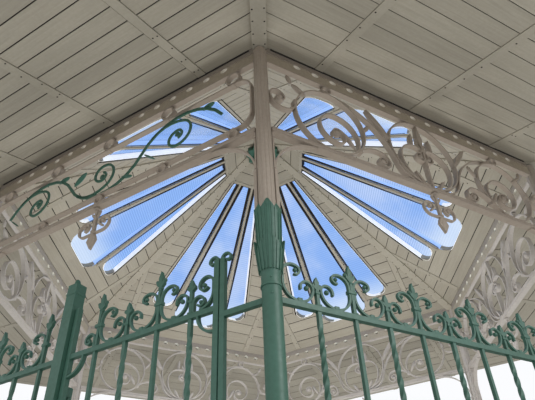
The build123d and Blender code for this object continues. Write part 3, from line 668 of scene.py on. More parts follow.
def bend(bm, start, heading, turns, width, depth, boss=0.0):
    """A flat bar bent through tangent arcs in a side's own plane, closed at both ends."""
    angle = atan2(heading[1], heading[0])
    normal = Vector((-sin(angle), 0, cos(angle)))
    run = Vector((cos(angle), 0, sin(angle)))
    place = Matrix.Translation((start[0], 0, start[1])) @ Matrix(
        (normal * width, Vector((0, depth, 0)), run)).transposed().to_4x4()
    geom = square_ring(bm, 0.5, place)
    for way, centre, radius, turn in walk(start, heading, turns):
        if centre is None:
            rim = only(geom, bmesh.types.BMEdge)
            verts = only(bmesh.ops.extrude_edge_only(bm, edges=rim)["geom"], bmesh.types.BMVert)
            step = Vector((cos(way), 0, sin(way))) * radius
            bmesh.ops.translate(bm, vec=step, verts=verts)
            edges = {e for v in verts for e in v.link_edges}
            geom = verts + [e for e in edges if all(v in verts for v in e.verts)]
        else:
            steps = max(3, ceil(abs(turn) / radians(14)))
            geom = bmesh.ops.spin(
                bm, geom=geom, cent=(centre[0], 0, centre[1]), axis=(0, -1, 0), dvec=(0, 0, 0),
                angle=turn, steps=steps, use_duplicate=False)["geom_last"]
    ends = [e for e in bm.edges if e.is_boundary or e.is_wire]
    bmesh.ops.holes_fill(bm, edges=ends, sides=4)
    if boss:
        bead(bm, scroll_eye(start, heading, turns), (boss, depth * 0.6, boss))


def paths_of_frieze(way):
    """The scrolls of half a frieze as (start, heading, turns, boss), way 1 or -1."""
    side = CIRCLE / 2 - 0.0543 - STRIP / 2
    first = CIRCLE_X + CIRCLE_R * 0.98
    scroll = (side - first) / 2
    return [
        ((way * RING * 0.16, RING_MIDDLE - RING * 0.987), (way * 0.987, 0.16),
         [(RING * 0.68, way * 91), (RING * 0.49, way * 110), (RING * 0.19, way * 180),
          (RING * 0.115, way * 170)], 0.03),
        ((way * (CIRCLE_X - CIRCLE_R * 0.14), FLOOR_LINE + 0.002), (-way, 0),
         [(CIRCLE_R * 0.64, -way * 180), (CIRCLE_R * 0.47, -way * 180), (CIRCLE_R * 0.23, -way * 180),
          (CIRCLE_R * 0.12, -way * 140)], 0.036),
        ((way * (CIRCLE_X - CIRCLE_R * 0.745), CIRCLE_Z - CIRCLE_R * 0.675), (-way * 0.7, 0.714),
         [(CIRCLE_R * 0.88, way * 45.6), (CIRCLE_R * 0.3, way * 90), (CIRCLE_R * 0.17, way * 180),
          (CIRCLE_R * 0.11, way * 180)], 0.03),
        ((way * first, CIRCLE_Z + CIRCLE_R * 0.18), (0, -1),
         [(scroll, way * 180), (scroll * 0.55, way * 180), (scroll * 0.28, way * 180)], 0.026),
    ]


class BANDSTAND_OT_materials(bpy.types.Operator):
    """Makes the paints, stone and glazing and lays them on the frame's own pieces"""

    bl_idname = "bandstand.materials"
    bl_label = "Materials"

    def execute(self, context):
        colours = context.scene.bandstand_colours
        group_paint_age()
        group_grain()
        pale = tuple(colours.pale_paint)
        iron = tuple(colours.pale_iron)
        green = tuple(colours.green_paint)
        aged_paint("board_paint", pale, (0.30, 0.26, 0.20), 0.35, 0.05, 0.3, uv=True, grain=0.12)
        # Near black: painted shade behind the board joints, in the shadow line under the fascia, beside
        # the glazing bars and on shaded lining faces; also the dark of the nail heads
        aged_paint("nail_dark_and_painted_shade", (0.012, 0.010, 0.008), (0.05, 0.04, 0.03), 0.35, 0.2)
        # Lining paints that glow though they are no lamp: painted light of the sky, white on the reveals
        # and sky blue beside the glazing bars
        for name, colour, light, strength in (
            ("reveal_painted_glow", (0.92, 0.92, 0.90), (1, 1, 1, 1), 0.45),
            ("painted_sky_glow", (0.36, 0.52, 0.90), (0.36, 0.56, 0.95, 1), 0.62),
        ):
            lit = aged_paint(name, colour, tuple(c * 0.8 for c in colour), 0.2, 0.1)
            glow = lit.node_tree.nodes["Principled BSDF"]
            glow.inputs["Emission Color"].default_value = light
            glow.inputs["Emission Strength"].default_value = strength
        banded("column_paint", green, iron, COLLAR_TOP)
        # The fascia is drawn warmer below PLATE_Z - 0.07 and darker above it
        warmer = tuple(part * share for part, share in zip(iron, (1.06, 1.06, 0.98)))
        darker = tuple(part * 0.80 for part in iron)
        fascia = banded("fascia_paint_and_light", warmer, darker, PLATE_Z - 0.07, 0.002)
        # Painted highlight on the walls of the fascia's slots
        slot_reveals(fascia, (0.66, 0.61, 0.52))
        # Painted sunlight on the fascias behind the front corners
        sunlit_behind(fascia, (1.3, 1.38, 1.46))
        aged_paint("lead_sheet", (0.20, 0.205, 0.21), (0.11, 0.11, 0.11), 0.5, 0.0, 0.2)
        aged_paint("trim_paint", pale, (0.30, 0.26, 0.20), 0.4, 0.0, 0.2)
        upper_iron = aged_paint("iron_paint_and_sunlight", iron, (0.22, 0.17, 0.13), 0.4, -0.05, 0.25)
        # Painted sunlight on the ironwork behind the front corners
        sunlit_behind(upper_iron, (1.5, 1.65, 1.85))
        aged_paint("green_paint", green, (0.02, 0.07, 0.04), 0.5, -0.12, 0.3)
        stone_material("plinth_stone", colours.stone)
        stone_material("course_stone", colours.stone, toned=True)
        stone_material("mortar", [part * 0.3 for part in colours.stone], 3.0)
        glazing_material("blue_glazing", colours.glazing)
        given = {
            "stone": "plinth_stone", "green_iron": "green_paint", "pale_iron": "iron_paint_and_sunlight",
            "pale_boards": "trim_paint", "glazing": "blue_glazing",
            "column": "column_paint", "fascia": "fascia_paint_and_light",
        }
        for part in frame["record"]["subparts"]:
            shown = frame["nodes"][part["node"]].data.materials
            shown.clear()
            kind = part["node"].split("_")[0]
            shown.append(finish_of(given.get(kind, given[part["material_slot"]])))
        return {"FINISHED"}


class BANDSTAND_OT_ceilings(bpy.types.Operator):
    """Lays the painted boards under the roof slopes and the eaves, over a near-black sheet of painted
    shade in their joints
    """

    bl_idname = "bandstand.ceilings"
    bl_label = "Ceiling boards"

    def execute(self, context):
        sizes = context.scene.bandstand_sizes
        rng = random.Random(sizes.seed)
        joints, nails = bmesh.new(), bmesh.new()
        for side in SIDES:
            a = side_angle(side)
            for part, pitch, origin_z, reach in (
                ("roof", ROOF_PITCH, APEX_Z, 0.0),
                ("eaves", EAVES_PITCH, PLATE_Z, FASCIA_OUTER),
            ):
                along, down, normal = slope_axes(side, pitch)
                origin = Vector((reach * cos(a), reach * sin(a), origin_z))
                bm = flat_faces(f"{part}_{side}", -normal)
                level = max((v.co - origin).dot(-normal) for v in bm.verts)
                battens = [
                    f for f in bm.faces
                    if (f.calc_center_median() - origin).dot(-normal) > level / 2 > 0.003]
                numbers = {f.index for f in battens}
                strips = bm.copy()
                drop_faces(strips, [f for f in strips.faces if f.index not in numbers])
                merge_flat(strips)
                for face in strips.faces:
                    nail_rows(nails, face, sizes.board_width, 0.018, 0.45, rng)
                strips.free()
                drop_faces(bm, battens)
                # A near-black sheet just behind the boards: painted shade seen through the open joints
                join(joints, under_sheet(bm, -normal * 0.0012))
                lay_rows(
                    bm, origin, down, along, sizes.board_width, None,
                    sizes.board_gap * JOINT_WEAR[side - 1], sizes.board_thickness, rng)
                finish_piece(bm, f"{part}_boards_{side}", "board_paint")
            # The shadow line between the fascia and the first board
            out, along = side_axes(side)
            edge = out * (FASCIA_OUTER + 0.004) + Vector((0, 0, PLATE_Z - 0.013))
            stick(joints, edge - along * 1.5, edge + along * 1.5, 0.017, 0.008, out)
        finish_piece(joints, "board_joint_shade", "nail_dark_and_painted_shade")
        strips = cad_mesh("hips")
        drop_faces(strips, [f for f in strips.faces if f.normal.z > -0.6])
        merge_flat(strips)
        for face in strips.faces:
            if face.calc_area() > 0.05:
                nail_rows(nails, face, 0.125, 0.014, 0.75, rng)
        strips.free()
        finish_piece(nails, "nail_heads", "nail_dark_and_painted_shade")
        return {"FINISHED"}


class BANDSTAND_OT_skylights(bpy.types.Operator):
    """Adds the glazing bars, near-black beds beside them as painted shade, and the skylight linings, which
    glow white as painted light, with painted sky beside the bars
    """

    bl_idname = "bandstand.skylights"
    bl_label = "Skylights"

    def execute(self, context):
        along, down, normal = slope_axes(1, ROOF_PITCH)
        apex = Vector((0, 0, APEX_Z))

        def spot(distance, across, lift):
            return apex + down * distance + along * across + normal * lift

        beds, bars, linings = bmesh.new(), bmesh.new(), bmesh.new()
        # The beds are near-black strips wider than the bars: painted shade of the bars' deep sides
        for angle, end, strips in (
            (BAR_LEAN, 2.93, (
                (beds, 0.0, 0.0, -0.0022, 0.122, 0.0016, 0.0),
                (bars, 0.02, 0.0, -0.009, 0.034, 0.016, 0.003))),
            (EDGE_LEAN, 2.80, (
                (beds, 0.0, 0.026, -0.0080, 0.050, 0.0030, 0.0),
                (bars, 0.0, 0.032, -0.0115, 0.026, 0.012, 0.0))),
        ):
            for way in (-1, 1):
                lean = tan(radians(way * angle))
                for target, past, shift, lift, width, depth, bevel in strips:
                    stick(
                        target, spot(BAR_TOP, BAR_TOP * lean + way * shift, lift),
                        spot(end + past, end * lean + way * shift, lift), width, depth, normal, bevel)
        stick(bars, spot(0.69, -0.24, -0.0115), spot(0.69, 0.24, -0.0115), 0.030, 0.012, normal, 0.002)
        near, far = BAR_LEAN - BAR_HALF, BAR_LEAN + BAR_HALF
        panes = (
            (-near, near, 3.110, 0.175), (far, EDGE_LEAN, 2.890, 0.130), (-EDGE_LEAN, -far, 2.890, 0.130))
        for first, last, end, corner in panes:
            low, high = tan(radians(first)), tan(radians(last))
            shell = bmesh.new()
            verts = [shell.verts.new(spot(d, d * lean, 0.0)) for d, lean in (
                (PANE_TOP, low), (end, low), (end, high), (PANE_TOP, high))]
            shell.faces.new(verts)
            bmesh.ops.bevel(
                shell, geom=[verts[1], verts[2]], offset=corner, offset_type="OFFSET", segments=12,
                profile=0.5, affect="VERTICES", material=-1)
            rim = bmesh.ops.inset_region(
                shell, faces=shell.faces[:], thickness=0.004, use_boundary=True, use_even_offset=True)
            keep = set(rim["faces"])
            drop_faces(shell, [f for f in shell.faces if f not in keep])
            bmesh.ops.translate(shell, vec=normal * -0.006, verts=shell.verts)
            thicken(shell, normal * 0.064)
            # Painted shade on the top end and on the flat faces beside the bars (index 2), painted sky
            # glow on the walls beside the bars (index 1), and a white glow of painted light on the other
            # reveals (index 0)
            for face in shell.faces:
                spot_on = face.calc_center_median() - apex
                lean = abs(degrees(atan2(spot_on.dot(along), spot_on.dot(down))))
                beside_bar = abs(lean - BAR_LEAN) < 1.3 and abs(face.normal.dot(down)) < 0.25
                wall = abs(face.normal.dot(normal)) < 0.5
                if spot_on.dot(down) < PANE_TOP + 0.008 or beside_bar and not wall:
                    face.material_index = 2
                elif beside_bar:
                    face.material_index = 1
            join(linings, shell)
        for bm, name, finish in (
            (beds, "glazing_bar_shade", "nail_dark_and_painted_shade"), (bars, "glazing_bars", "trim_paint"),
            (linings, "skylight_linings", "reveal_painted_glow"),
        ):
            repeat_round(bm)
            piece = finish_piece(bm, name, finish)
            if name == "skylight_linings":
                piece.data.materials.append(finish_of("painted_sky_glow"))
                piece.data.materials.append(finish_of("nail_dark_and_painted_shade"))
        return {"FINISHED"}


class BANDSTAND_OT_columns(bpy.types.Operator):
    """Dresses the columns: ribbed leaf collars, pale upper shafts, legs of the brackets"""

    bl_idname = "bandstand.columns"
    bl_label = "Columns"

    def execute(self, context):
        bm = cad_mesh("column_1")
        bmesh.ops.translate(bm, vec=(0, CIRCLE, 0), verts=bm.verts)
        cup_foot, cup_lap = COLLAR_TOP - 0.568, COLLAR_TOP - 0.412
        upper_low = COLLAR_TOP - 0.30
        for face in bm.faces:
            inside = all(hypot(v.co.x, v.co.y) < SHAFT for v in face.verts)
            if inside and face.calc_center_median().z > upper_low:
                face.material_index = 1
        self.ribs(bm, cup_foot, cup_lap)
        for vert in bm.verts:
            self.reshape(vert, cup_foot, cup_lap)
        for bolt in range(4):
            a = pi / 4 + bolt * pi / 2
            spot = Vector((0.137 * cos(a), 0.137 * sin(a), DECK_TOP + 0.046))
            bmesh.ops.create_cone(
                bm, cap_ends=True, segments=6, radius1=0.014, radius2=0.014, depth=0.014,
                matrix=Matrix.Translation(spot))
        for height in (cup_foot - 0.03, cup_foot - 0.13):
            bead(bm, (0, -SHAFT, height), (0.007, 0.004, 0.007))
        bmesh.ops.translate(bm, vec=(0, -CIRCLE, 0), verts=bm.verts)
        repeat_round(bm)
        piece = finish_piece(
            bm, "columns", "green_paint",
            replaces=[f"column_{number}" for number in SIDES], smooth=radians(35))
        piece.data.materials.append(finish_of("iron_paint_and_sunlight"))

        bm = bmesh.new()
        for way in (1, -1):
            x = way * (CIRCLE / 2 - 0.068)
            low, high = COLLAR_TOP - 0.12, CHORD_TOP - 0.40
            upright(bm, x, low, high, 0.026, 0.050, 0.004)
            upright(bm, x + way * 0.007, high - 0.01, high + 0.16, 0.012, 0.040, 0.002)
        bmesh.ops.transform(bm, matrix=side_frame(1), verts=bm.verts)
        repeat_round(bm)
        finish_piece(bm, "bracket_legs", "iron_paint_and_sunlight")
        return {"FINISHED"}

    def ribs(self, bm, cup_foot, cup_lap):
        """Raised ribs up both tiers of leaves, shorter towards the notches."""
        tiers = ((cup_foot, cup_foot + 0.261, 0.056, 0.084), (cup_lap, COLLAR_TOP, 0.062, 0.087))
        for low, high, waist, rim in tiers:
            foot = low + 0.02 if low == cup_foot else low + 0.045
            for quarter in range(4):
                for spread in (-36, -24, -12, 0, 12, 24, 36):
                    notch = 0.105 * max(0.0, 1 - rim * sin(radians(45 - abs(spread))) / 0.054)
                    a = radians(quarter * 90 + spread)
                    out = Vector((cos(a), sin(a), 0))
                    top = high - notch - 0.004
                    near, far = (
                        waist + (rim - waist) * (z - low) / (high - low) + 0.0005 for z in (foot, top))
                    width = 0.0075 if spread % 24 == 0 else 0.0045
                    stick(
                        bm, out * near + Vector((0, 0, foot)), out * far + Vector((0, 0, top)),
                        width, 0.006, out)

    def reshape(self, vert, cup_foot, cup_lap):
        """Widens the leaves that face outwards and inwards and lowers the upper tier."""
        x, y, z = vert.co
        radius = hypot(x, y)
        if radius < SHAFT - 0.001 or not cup_foot + 0.01 < z < COLLAR_TOP + 0.01:
            return
        angle = atan2(abs(x), abs(y))
        quarter, wide = pi / 4, radians(64)
        if angle < quarter:
            angle *= wide / quarter
        else:
            angle = wide + (angle - quarter) * (pi / 2 - wide) / quarter
        vert.co.x = radius * sin(angle) * (1 if x > 0 else -1)
        vert.co.y = radius * cos(angle) * (1 if y > 0 else -1)
        swell = SWELL
        if z > cup_lap:
            swell -= RIM_DRAWN * min(1.0, (z - cup_lap) / (COLLAR_TOP - cup_lap))
            vert.co.z = cup_lap + (z - cup_lap) * TIER_SHARE
        if radius > SHAFT + 0.0015:
            vert.co.x *= swell
            vert.co.y *= swell


class BANDSTAND_OT_railings(bpy.types.Operator):
    """Twists the short bars and adds spear heads, collars, balls, gate scrolls and a post finial"""

    bl_idname = "bandstand.railings"
    bl_label = "Railings and gate"

    def execute(self, context):
        fixed, leaf_bars = [x for x in BARS if x < -0.1], [x for x in BARS if 0.1 < x < 1.1]
        work = [(f"railing_{side}", side, BARS, RAIL_Z, 1, 0.0, "structure") for side in range(1, 6)]
        work.append(("railing_hinge_side", 6, fixed, GATE_RAIL_Z, 0, 0.046, "structure"))
        work.append(("gate", 6, leaf_bars, GATE_RAIL_Z, 0, 0.046, "gate_leaf"))
        for name, side, places, rail_z, first_tall, gain, body in work:
            place = side_frame(side)
            bm = cad_mesh(name)
            bmesh.ops.transform(bm, matrix=place.inverted(), verts=bm.verts)
            tall = {x: round((x - BARS[0]) / BAR_STEP) % 2 == first_tall for x in places}
            shafts = [x for x in places if not tall[x]]
            low, high = LOW_RAIL_Z + RAIL_HALF, rail_z - RAIL_HALF
            drop_faces(bm, [f for f in bm.faces if any(
                all(abs(v.co.x - x) < 0.0135 and low - 0.001 < v.co.z < high + 0.001 for v in f.verts)
                for x in shafts)])
            for x in shafts:
                self.twisted(bm, x, low, high)
            for x in places:
                self.spear(bm, x, rail_z + gain + (0.354 if tall[x] else 0.206), tall[x])
                knot = (0.150, 0.174, 0.062, 0.034) if tall[x] else (0.092, 0.110, 0.034, 0.032)
                upright(bm, x, rail_z + knot[0], rail_z + knot[1], *knot[2:], 0.003)
                for rail in (rail_z + RAIL_HALF, LOW_RAIL_Z + RAIL_HALF):
                    upright(bm, x, rail, rail + 0.010, 0.036, 0.036, 0.002)
            marks = list(places)
            if side < 6:
                mark = CIRCLE / 2 - 0.0563 - 0.008 + 0.0115
                marks = [-mark, *places, mark]
            for near, far in zip(marks, marks[1:]):
                way = 1 if tall.get(near, near < places[0]) else -1
                middle, half = (near + far) / 2, abs(far - near) / 2
                base = rail_z + RAIL_HALF + 0.006
                # The balls at both ends of the crook, and the block under it
                reach, turned = 0.042, radians(120)
                x = middle - way * (half - 0.0885 + reach * cos(turned))
                bead(bm, (x, 0, base + half + 0.0415 + reach * sin(turned)), (0.014, 0.015, 0.014))
                x = middle + way * (half - 0.028 - reach)
                bead(bm, (x, 0, base + half - 0.028), (0.016, 0.016, 0.016))
                tie(bm, middle, base + 0.004, 0.032, 0.03, 0.028)
            if name == "gate":
                self.gate_scrolls(bm, places, rail_z + RAIL_HALF)
            elif side == 6:
                self.post_finial(bm)
            bmesh.ops.transform(bm, matrix=place, verts=bm.verts)
            finish_piece(
                bm, f"{name}_ironwork", "green_paint", body=body,
                replaces=(name,), smooth=radians(40))
        return {"FINISHED"}

    def gate_scrolls(self, bm, places, base):
        """The tall scroll along the closing stile and a small one beside each end bar."""
        edge = GATE_STILE - 0.007
        turns = [(0.098, 90), (0.06, 0), (0.052, 180), (0.033, 150)]
        bend(bm, (edge - 0.098, base + 0.007), (1, 0), turns, *GATE_STRIP, boss=0.016)
        for x, way in ((places[-1], -1), (places[0], 1)):
            turns = [(0.06, 0), (0.040, way * 180), (0.026, way * 150)]
            bend(bm, (x - way * 0.0195, base - 0.002), (0, 1), turns, *GATE_STRIP, boss=0.014)

    def post_finial(self, bm):
        """A collar and a leaf on the post that the gate hangs on."""
        top = max(v.co.z for v in bm.verts if abs(v.co.x - HINGE_POST) < 0.05)
        upright(bm, HINGE_POST, top - 0.088, top - 0.064, 0.100, 0.100, 0.006)
        leaf(bm, (HINGE_POST, 0, top - 0.02), (HINGE_POST - 0.012, 0, top + 0.062), 0.050, 0.040)

    def twisted(self, bm, x, low, high):
        """A square bar turned about its own axis between plain ends."""
        plain = 0.09
        geom = square_ring(bm, 0.0125, Matrix.Translation((x, 0, low)))
        for rise, angle, steps in ((plain, 0, 1), (high - low - 2 * plain, 5 * pi, 44), (plain, 0, 1)):
            geom = bmesh.ops.spin(
                bm, geom=geom, cent=(x, 0, 0), axis=(0, 0, 1), dvec=(0, 0, rise / steps),
                angle=angle, steps=steps, use_duplicate=False)["geom_last"]

    def spear(self, bm, x, tip, tall):
        """Three leaves over a ball, set on the bar's own head."""
        size = 1.0 if tall else 0.72

        def point(across, below):
            return x + across * size, 0, tip - below * size

        leaf(bm, point(0, 0.105), (x, 0, tip - 0.001), 0.040 * size, 0.030 * size)
        for way in (1, -1):
            leaf(bm, point(0, 0.118), point(way * 0.036, 0.062), 0.026 * size, 0.028 * size)
            bead(bm, point(way * 0.034, 0.072), Vector((0.010, 0.013, 0.014)) * size)
        bead(bm, point(0, 0.126), Vector((0.021, 0.019, 0.012)) * size)


class BANDSTAND_OT_friezes(bpy.types.Operator):
    """Adds bosses, ties, leaves and mouldings to the friezes, and the gate side's green scroll"""

    bl_idname = "bandstand.friezes"
    bl_label = "Friezes"

    def execute(self, context):
        bm = bmesh.new()
        depth = 0.046
        for way in (1, -1):
            for start, heading, turns, boss in paths_of_frieze(way):
                bead(bm, scroll_eye(start, heading, turns), (boss, depth * 0.62, boss))
            for x, z, width, height in (
                (CIRCLE_X, CIRCLE_Z + CIRCLE_R + 0.01, 0.05, 0.03),
                (CIRCLE_X - CIRCLE_R * 0.14, CHORD_TOP + 0.004, 0.05, 0.026),
                (CIRCLE_X + CIRCLE_R, CIRCLE_Z + CIRCLE_R * 0.18, 0.03, 0.05),
                (RING * 0.16, CHORD_TOP + 0.008, 0.05, 0.03),
                (CIRCLE_X - CIRCLE_R * 0.745, CIRCLE_Z - CIRCLE_R * 0.675, 0.04, 0.04),
            ):
                tie(bm, way * x, z, width, height)
            # Leaves that spring from the ring, the scrolls and the circle
            for foot, tip, width in (
                ((0.370, RING_MIDDLE + 0.02), (0.520, RING_MIDDLE + 0.22), 0.060),
                ((0.470, RING_MIDDLE + 0.15), (0.572, RING_MIDDLE + 0.31), 0.050),
                ((0.075, RING_MIDDLE - 0.36), (0.158, RING_MIDDLE - 0.235), 0.036),
                ((0.111, RING_MIDDLE + 0.065), (0.100, RING_MIDDLE + 0.225), 0.034),
                ((0.760, CIRCLE_Z - 0.21), (0.860, CIRCLE_Z - 0.05), 0.034),
                ((1.180, CIRCLE_Z + 0.20), (1.310, CIRCLE_Z + 0.29), 0.044),
                ((1.310, CIRCLE_Z + 0.29), (1.350, CIRCLE_Z + 0.38), 0.034),
                ((0.640, CIRCLE_Z + 0.05), (0.560, CIRCLE_Z + 0.16), 0.034),
            ):
                leaf(bm, (way * foot[0], 0, foot[1]), (way * tip[0], 0, tip[1]), width, depth * 0.9)
        for low, across, high, width, share in (
            (0.18, 0, 0.99, 0.050, 0.9), (0.42, 0, 0.78, 0.066, 0.9),
            (0.18, -0.055, 0.42, 0.026, 0.8), (0.18, 0.055, 0.42, 0.026, 0.8),
        ):
            tip = (across, 0, RING_MIDDLE + RING * high)
            leaf(bm, (0, 0, RING_MIDDLE + RING * low), tip, width, depth * share)
        tie(bm, 0, RING_MIDDLE + RING * 0.15, 0.044, 0.03)
        self.dress_chord(bm)
        bmesh.ops.transform(bm, matrix=side_frame(1), verts=bm.verts)
        repeat_round(bm, 5)
        finish_piece(bm, "frieze_leaves", "iron_paint_and_sunlight", smooth=radians(50))

        # Gate side: ties on the panel and a running scroll inside it
        bm = bmesh.new()
        for place in (-2, -1, 0, 1, 2):
            for height in (DECK_TOP + 3.120, DECK_TOP + 2.605):
                tie(bm, place * 0.667, height, 0.034, 0.022)
        self.dress_chord(bm)
        bmesh.ops.transform(bm, matrix=side_frame(6), verts=bm.verts)
        finish_piece(bm, "gate_frieze_ties", "iron_paint_and_sunlight", smooth=radians(50))
        bm = bmesh.new()
        middle = DECK_TOP + 2.8625
        for number in range(3):
            way = 1 if number % 2 == 0 else -1
            x = -1.221 + 0.814 * number
            bend(bm, (x, middle), (0.5, way * 0.866), [(0.47, -way * 120)], 0.026, 0.012)
            arcs = ((0.30, 70), (0.135, 150), (0.085, 180), (0.045, 170))
            turns = [(radius, -way * angle) for radius, angle in arcs]
            start = (x + 0.10, middle + way * 0.125)
            bend(bm, start, (0.766, way * 0.643), turns, 0.022, 0.012, boss=0.026)
            leaf(bm, (x + 0.03, 0, middle - way * 0.02), (x + 0.16, 0, middle - way * 0.13), 0.045, 0.016)
            leaf(bm, (x + 0.62, 0, middle + way * 0.16), (x + 0.74, 0, middle + way * 0.19), 0.045, 0.016)
        bmesh.ops.recalc_face_normals(bm, faces=bm.faces)
        bmesh.ops.transform(bm, matrix=side_frame(6), verts=bm.verts)
        finish_piece(bm, "gate_frieze_scroll", "green_paint", smooth=radians(50))
        return {"FINISHED"}

    def dress_chord(self, bm):
        """Mouldings along the chord, and the leaves and bosses of the pendant."""
        low = CHORD_TOP - 0.040
        reach = CIRCLE / 2 - 0.058
        for y in (-0.031, 0.031):
            for z in (low + 0.006, low + 0.034):
                stick(bm, (-reach, y, z), (reach, y, z), 0.008, 0.006, (0, 1, 0), 0.0015)
        bead(bm, (0, 0, low - 0.012), (0.030, 0.028, 0.014))
        bead(bm, (0, 0, low - 0.235), (0.026, 0.026, 0.014))
        leaf(bm, (0, 0, low - 0.230), (0, 0, low - 0.396), 0.060, 0.040)
        for way in (1, -1):
            leaf(bm, (0, 0, low - 0.240), (way * 0.046, 0, low - 0.335), 0.034, 0.034)
            leaf(bm, (way * 0.01, 0, low - 0.10), (way * 0.050, 0, low - 0.04), 0.022, 0.026)
            turns = [(0.092, 0), (0.066, way * 180), (0.04, way * 180)]
            bead(bm, scroll_eye((way * 0.004, low - 0.252), (way, 0), turns), (0.020, 0.020, 0.020))
            for z in (low - 0.05, low - 0.34):
                upright(bm, way * (CIRCLE / 2 - 0.0608), z - 0.012, z + 0.012, 0.022, 0.060, 0.003)


class BANDSTAND_OT_crown(bpy.types.Operator):
    """Adds the leaves of the rosette under the crown"""

    bl_idname = "bandstand.crown"
    bl_label = "Rosette"

    def execute(self, context):
        bm = bmesh.new()
        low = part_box("finial")[0].z
        tiers = ((0, 12, 0.235, 0.043, 0.085), (1, 8, 0.145, 0.0, 0.075))
        for tier, count, reach, rise, width in tiers:
            for number in range(count):
                a = 2 * pi * (number + tier / 2) / count
                foot = (0.03 * cos(a), 0.03 * sin(a), low + rise + 0.004)
                leaf(bm, foot, (reach * cos(a), reach * sin(a), low + rise + 0.012), width, 0.022)
        bead(bm, (0, 0, low + 0.012), (0.040, 0.040, 0.011))
        finish_piece(bm, "rosette_leaves", "green_paint", smooth=radians(60))
        return {"FINISHED"}


class BANDSTAND_OT_covering(bpy.types.Operator):
    """Covers the roof and the eaves with seamed lead sheets and rolls on the hips"""

    bl_idname = "bandstand.covering"
    bl_label = "Roof covering"

    def execute(self, context):
        rng = random.Random(context.scene.bandstand_sizes.seed + 1)
        for side in SIDES:
            for part, pitch in (("roof", ROOF_PITCH), ("eaves", EAVES_PITCH)):
                along, down, normal = slope_axes(side, pitch)
                bm = flat_faces(f"{part}_{side}", normal)
                sheet = under_sheet(bm, normal * 0.0015)
                lay_rows(bm, UP * APEX_Z, along, down, 0.46, (1.1, 1.7), 0.010, 0.006, rng)
                join(bm, sheet)
                out = side_axes(side)[0]
                for vert in bm.verts:
                    vert.co -= out * max(0.0, vert.co.dot(out) - FASCIA_OUTER - LEAD_REACH)
                finish_piece(bm, f"{part}_lead_{side}", "lead_sheet")
        bm = bmesh.new()
        slab = 0.060 / cos(ROOF_PITCH)
        ratio = 2 / 3 ** 0.5
        fall = ROOF_RISE / (APOTHEM - 0.03)
        hip = [(0.35, APEX_Z + slab - 0.35 / ratio * fall), (CIRCLE, PLATE_Z + slab - 0.03 * fall)]
        low_z = PLATE_Z - 1.56 * tan(EAVES_PITCH) + 0.060 / cos(EAVES_PITCH)
        hip.append(((FASCIA_OUTER + ROLL_REACH) * ratio, low_z + 0.010))
        for (near, near_z), (far, far_z) in zip(hip, hip[1:]):
            stick(bm, (0, -near, near_z), (0, -far, far_z), 0.070, 0.034, (0, 0, 1), 0.012)
        repeat_round(bm)
        finish_piece(bm, "hip_rolls", "lead_sheet", smooth=radians(40))
        return {"FINISHED"}


class BANDSTAND_OT_masonry(bpy.types.Operator):
    """Faces the plinth with coursed stones and paves the deck"""

    bl_idname = "bandstand.masonry"
    bl_label = "Masonry"

    def execute(self, context):
        sizes = context.scene.bandstand_sizes
        rng = random.Random(sizes.seed + 2)
        beds = bmesh.new()
        for side in SIDES:
            out, along = side_axes(side)
            bm = flat_faces("plinth", out)
            join(beds, under_sheet(bm, out * 0.001))
            lay_rows(
                bm, UP * -0.048, UP, along, sizes.stone_course, (0.45, 0.8), sizes.stone_joint, 0.008, rng)
            finish_piece(bm, f"plinth_courses_{side}", "course_stone")
        bm = flat_faces("deck", UP)
        join(beds, under_sheet(bm, UP * 0.001))
        lay_rows(
            bm, UP * DECK_TOP, Vector((0, 1, 0)), Vector((1, 0, 0)), 0.40, (0.5, 0.9),
            sizes.stone_joint, 0.004, rng)
        finish_piece(bm, "deck_paving", "course_stone")
        finish_piece(beds, "mortar_beds", "mortar")
        return {"FINISHED"}


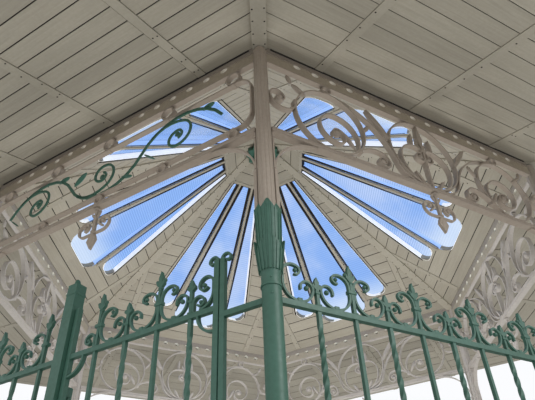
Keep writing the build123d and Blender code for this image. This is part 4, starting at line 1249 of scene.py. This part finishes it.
class BANDSTAND_OT_stage(bpy.types.Operator):
    """Sets the floor, the soft studio light, the pale background and the camera"""

    bl_idname = "bandstand.stage"
    bl_label = "Stage"

    def execute(self, context):
        scene = context.scene
        bm = bmesh.new()
        bmesh.ops.create_circle(bm, cap_ends=True, radius=60, segments=64)
        mesh = bpy.data.meshes.new("floor")
        bm.to_mesh(mesh)
        bm.free()
        floor_object = bpy.data.objects.new("floor", mesh)
        scene.collection.objects.link(floor_object)
        material, _, bsdf = shader("floor_pale")
        bsdf.inputs["Base Color"].default_value = (0.72, 0.72, 0.71, 1)
        bsdf.inputs["Roughness"].default_value = 0.9
        mesh.materials.append(material)

        world = bpy.data.worlds.new("studio")
        scene.world = world
        world.use_nodes = True
        tree = world.node_tree
        tree.nodes.clear()
        seen = node(tree, "Background", (100, 120), {"Color": (0.97, 0.98, 1.0, 1), "Strength": 1.0})
        light = node(tree, "Background", (100, -120), {"Color": (0.95, 0.97, 1.0, 1), "Strength": 0.85})
        paths = node(tree, "LightPath", (-500, 0)).outputs
        first = maths(tree, "MAXIMUM", (-300, 0), paths["Is Camera Ray"], paths["Is Glossy Ray"])
        second = maths(tree, "MAXIMUM", (-120, 0), first, paths["Is Transmission Ray"])
        choose = node(tree, "MixShader", (350, 0), {0: second, 1: light.outputs[0], 2: seen.outputs[0]})
        node(tree, "OutputWorld", (600, 0), {"Surface": choose.outputs[0]})

        for name, place, target, size, power in (
            ("key_lamp", (9.5, -9.0, 9.5), (0, 0, 3.5), 7.0, 720.0),
            ("fill_lamp", (-9.0, -8.0, 6.5), (0, 0, 3.5), 6.0, 130.0),
            ("inner_lamp", (0.0, 0.3, 1.9), (0, 0.4, 6.0), 2.8, 125.0),
        ):
            lamp = bpy.data.lights.new(name, "AREA")
            lamp.shape = "DISK"
            lamp.size = size
            lamp.energy = power
            holder = bpy.data.objects.new(name, lamp)
            holder.location = place
            aim = Vector(target) - Vector(place)
            holder.rotation_euler = aim.to_track_quat("-Z", "Y").to_euler()
            holder.visible_camera = False
            holder.visible_transmission = False
            holder.visible_glossy = name == "key_lamp"
            scene.collection.objects.link(holder)

        camera = bpy.data.cameras.new("camera")
        camera.sensor_width = 36.0
        camera.lens = 534.37 / 535 * 36.0
        camera.clip_end = 200.0
        holder = bpy.data.objects.new("camera", camera)
        elevation, yaw, roll = radians(38.93), radians(0.54), radians(-2.93)
        forward = Vector((sin(yaw) * cos(elevation), cos(yaw) * cos(elevation), sin(elevation)))
        right = Vector((cos(yaw), -sin(yaw), 0))
        up = right.cross(forward)
        x_axis = cos(roll) * right + sin(roll) * up
        y_axis = -sin(roll) * right + cos(roll) * up
        turn = Matrix((x_axis, y_axis, -forward)).transposed().to_4x4()
        holder.matrix_world = Matrix.Translation((-0.022, -5.769, 1.390)) @ turn
        scene.collection.objects.link(holder)
        scene.camera = holder
        scene.view_settings.view_transform = "Standard"
        return {"FINISHED"}


class BANDSTAND_PT_panel(bpy.types.Panel):
    """Lists the operators that dress the bandstand"""

    bl_idname = "BANDSTAND_PT_panel"
    bl_label = "Bandstand"
    bl_space_type = "VIEW_3D"
    bl_region_type = "UI"
    bl_category = "Bandstand"

    def draw(self, context):
        for group in (context.scene.bandstand_sizes, context.scene.bandstand_colours):
            box = self.layout.box()
            for key in group.bl_rna.properties.keys():
                if key not in ("rna_type", "name"):
                    box.prop(group, key)
        for operator in OPERATORS:
            self.layout.operator(operator.bl_idname)


OPERATORS = (
    BANDSTAND_OT_stage,
    BANDSTAND_OT_materials,
    BANDSTAND_OT_ceilings,
    BANDSTAND_OT_skylights,
    BANDSTAND_OT_columns,
    BANDSTAND_OT_railings,
    BANDSTAND_OT_friezes,
    BANDSTAND_OT_crown,
    BANDSTAND_OT_covering,
    BANDSTAND_OT_masonry,
)
CLASSES = (BandstandSizes, BandstandColours, *OPERATORS, BANDSTAND_PT_panel)


def register():
    for item in CLASSES:
        bpy.utils.register_class(item)
    bpy.types.Scene.bandstand_sizes = PointerProperty(type=BandstandSizes)
    bpy.types.Scene.bandstand_colours = PointerProperty(type=BandstandColours)


def unregister():
    del bpy.types.Scene.bandstand_colours
    del bpy.types.Scene.bandstand_sizes
    for item in reversed(CLASSES):
        bpy.utils.unregister_class(item)


def main():
    """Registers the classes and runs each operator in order."""
    register()
    for operator in OPERATORS:
        family, action = operator.bl_idname.split(".")
        getattr(getattr(bpy.ops, family), action)()


if __name__ == "__main__":
    main()
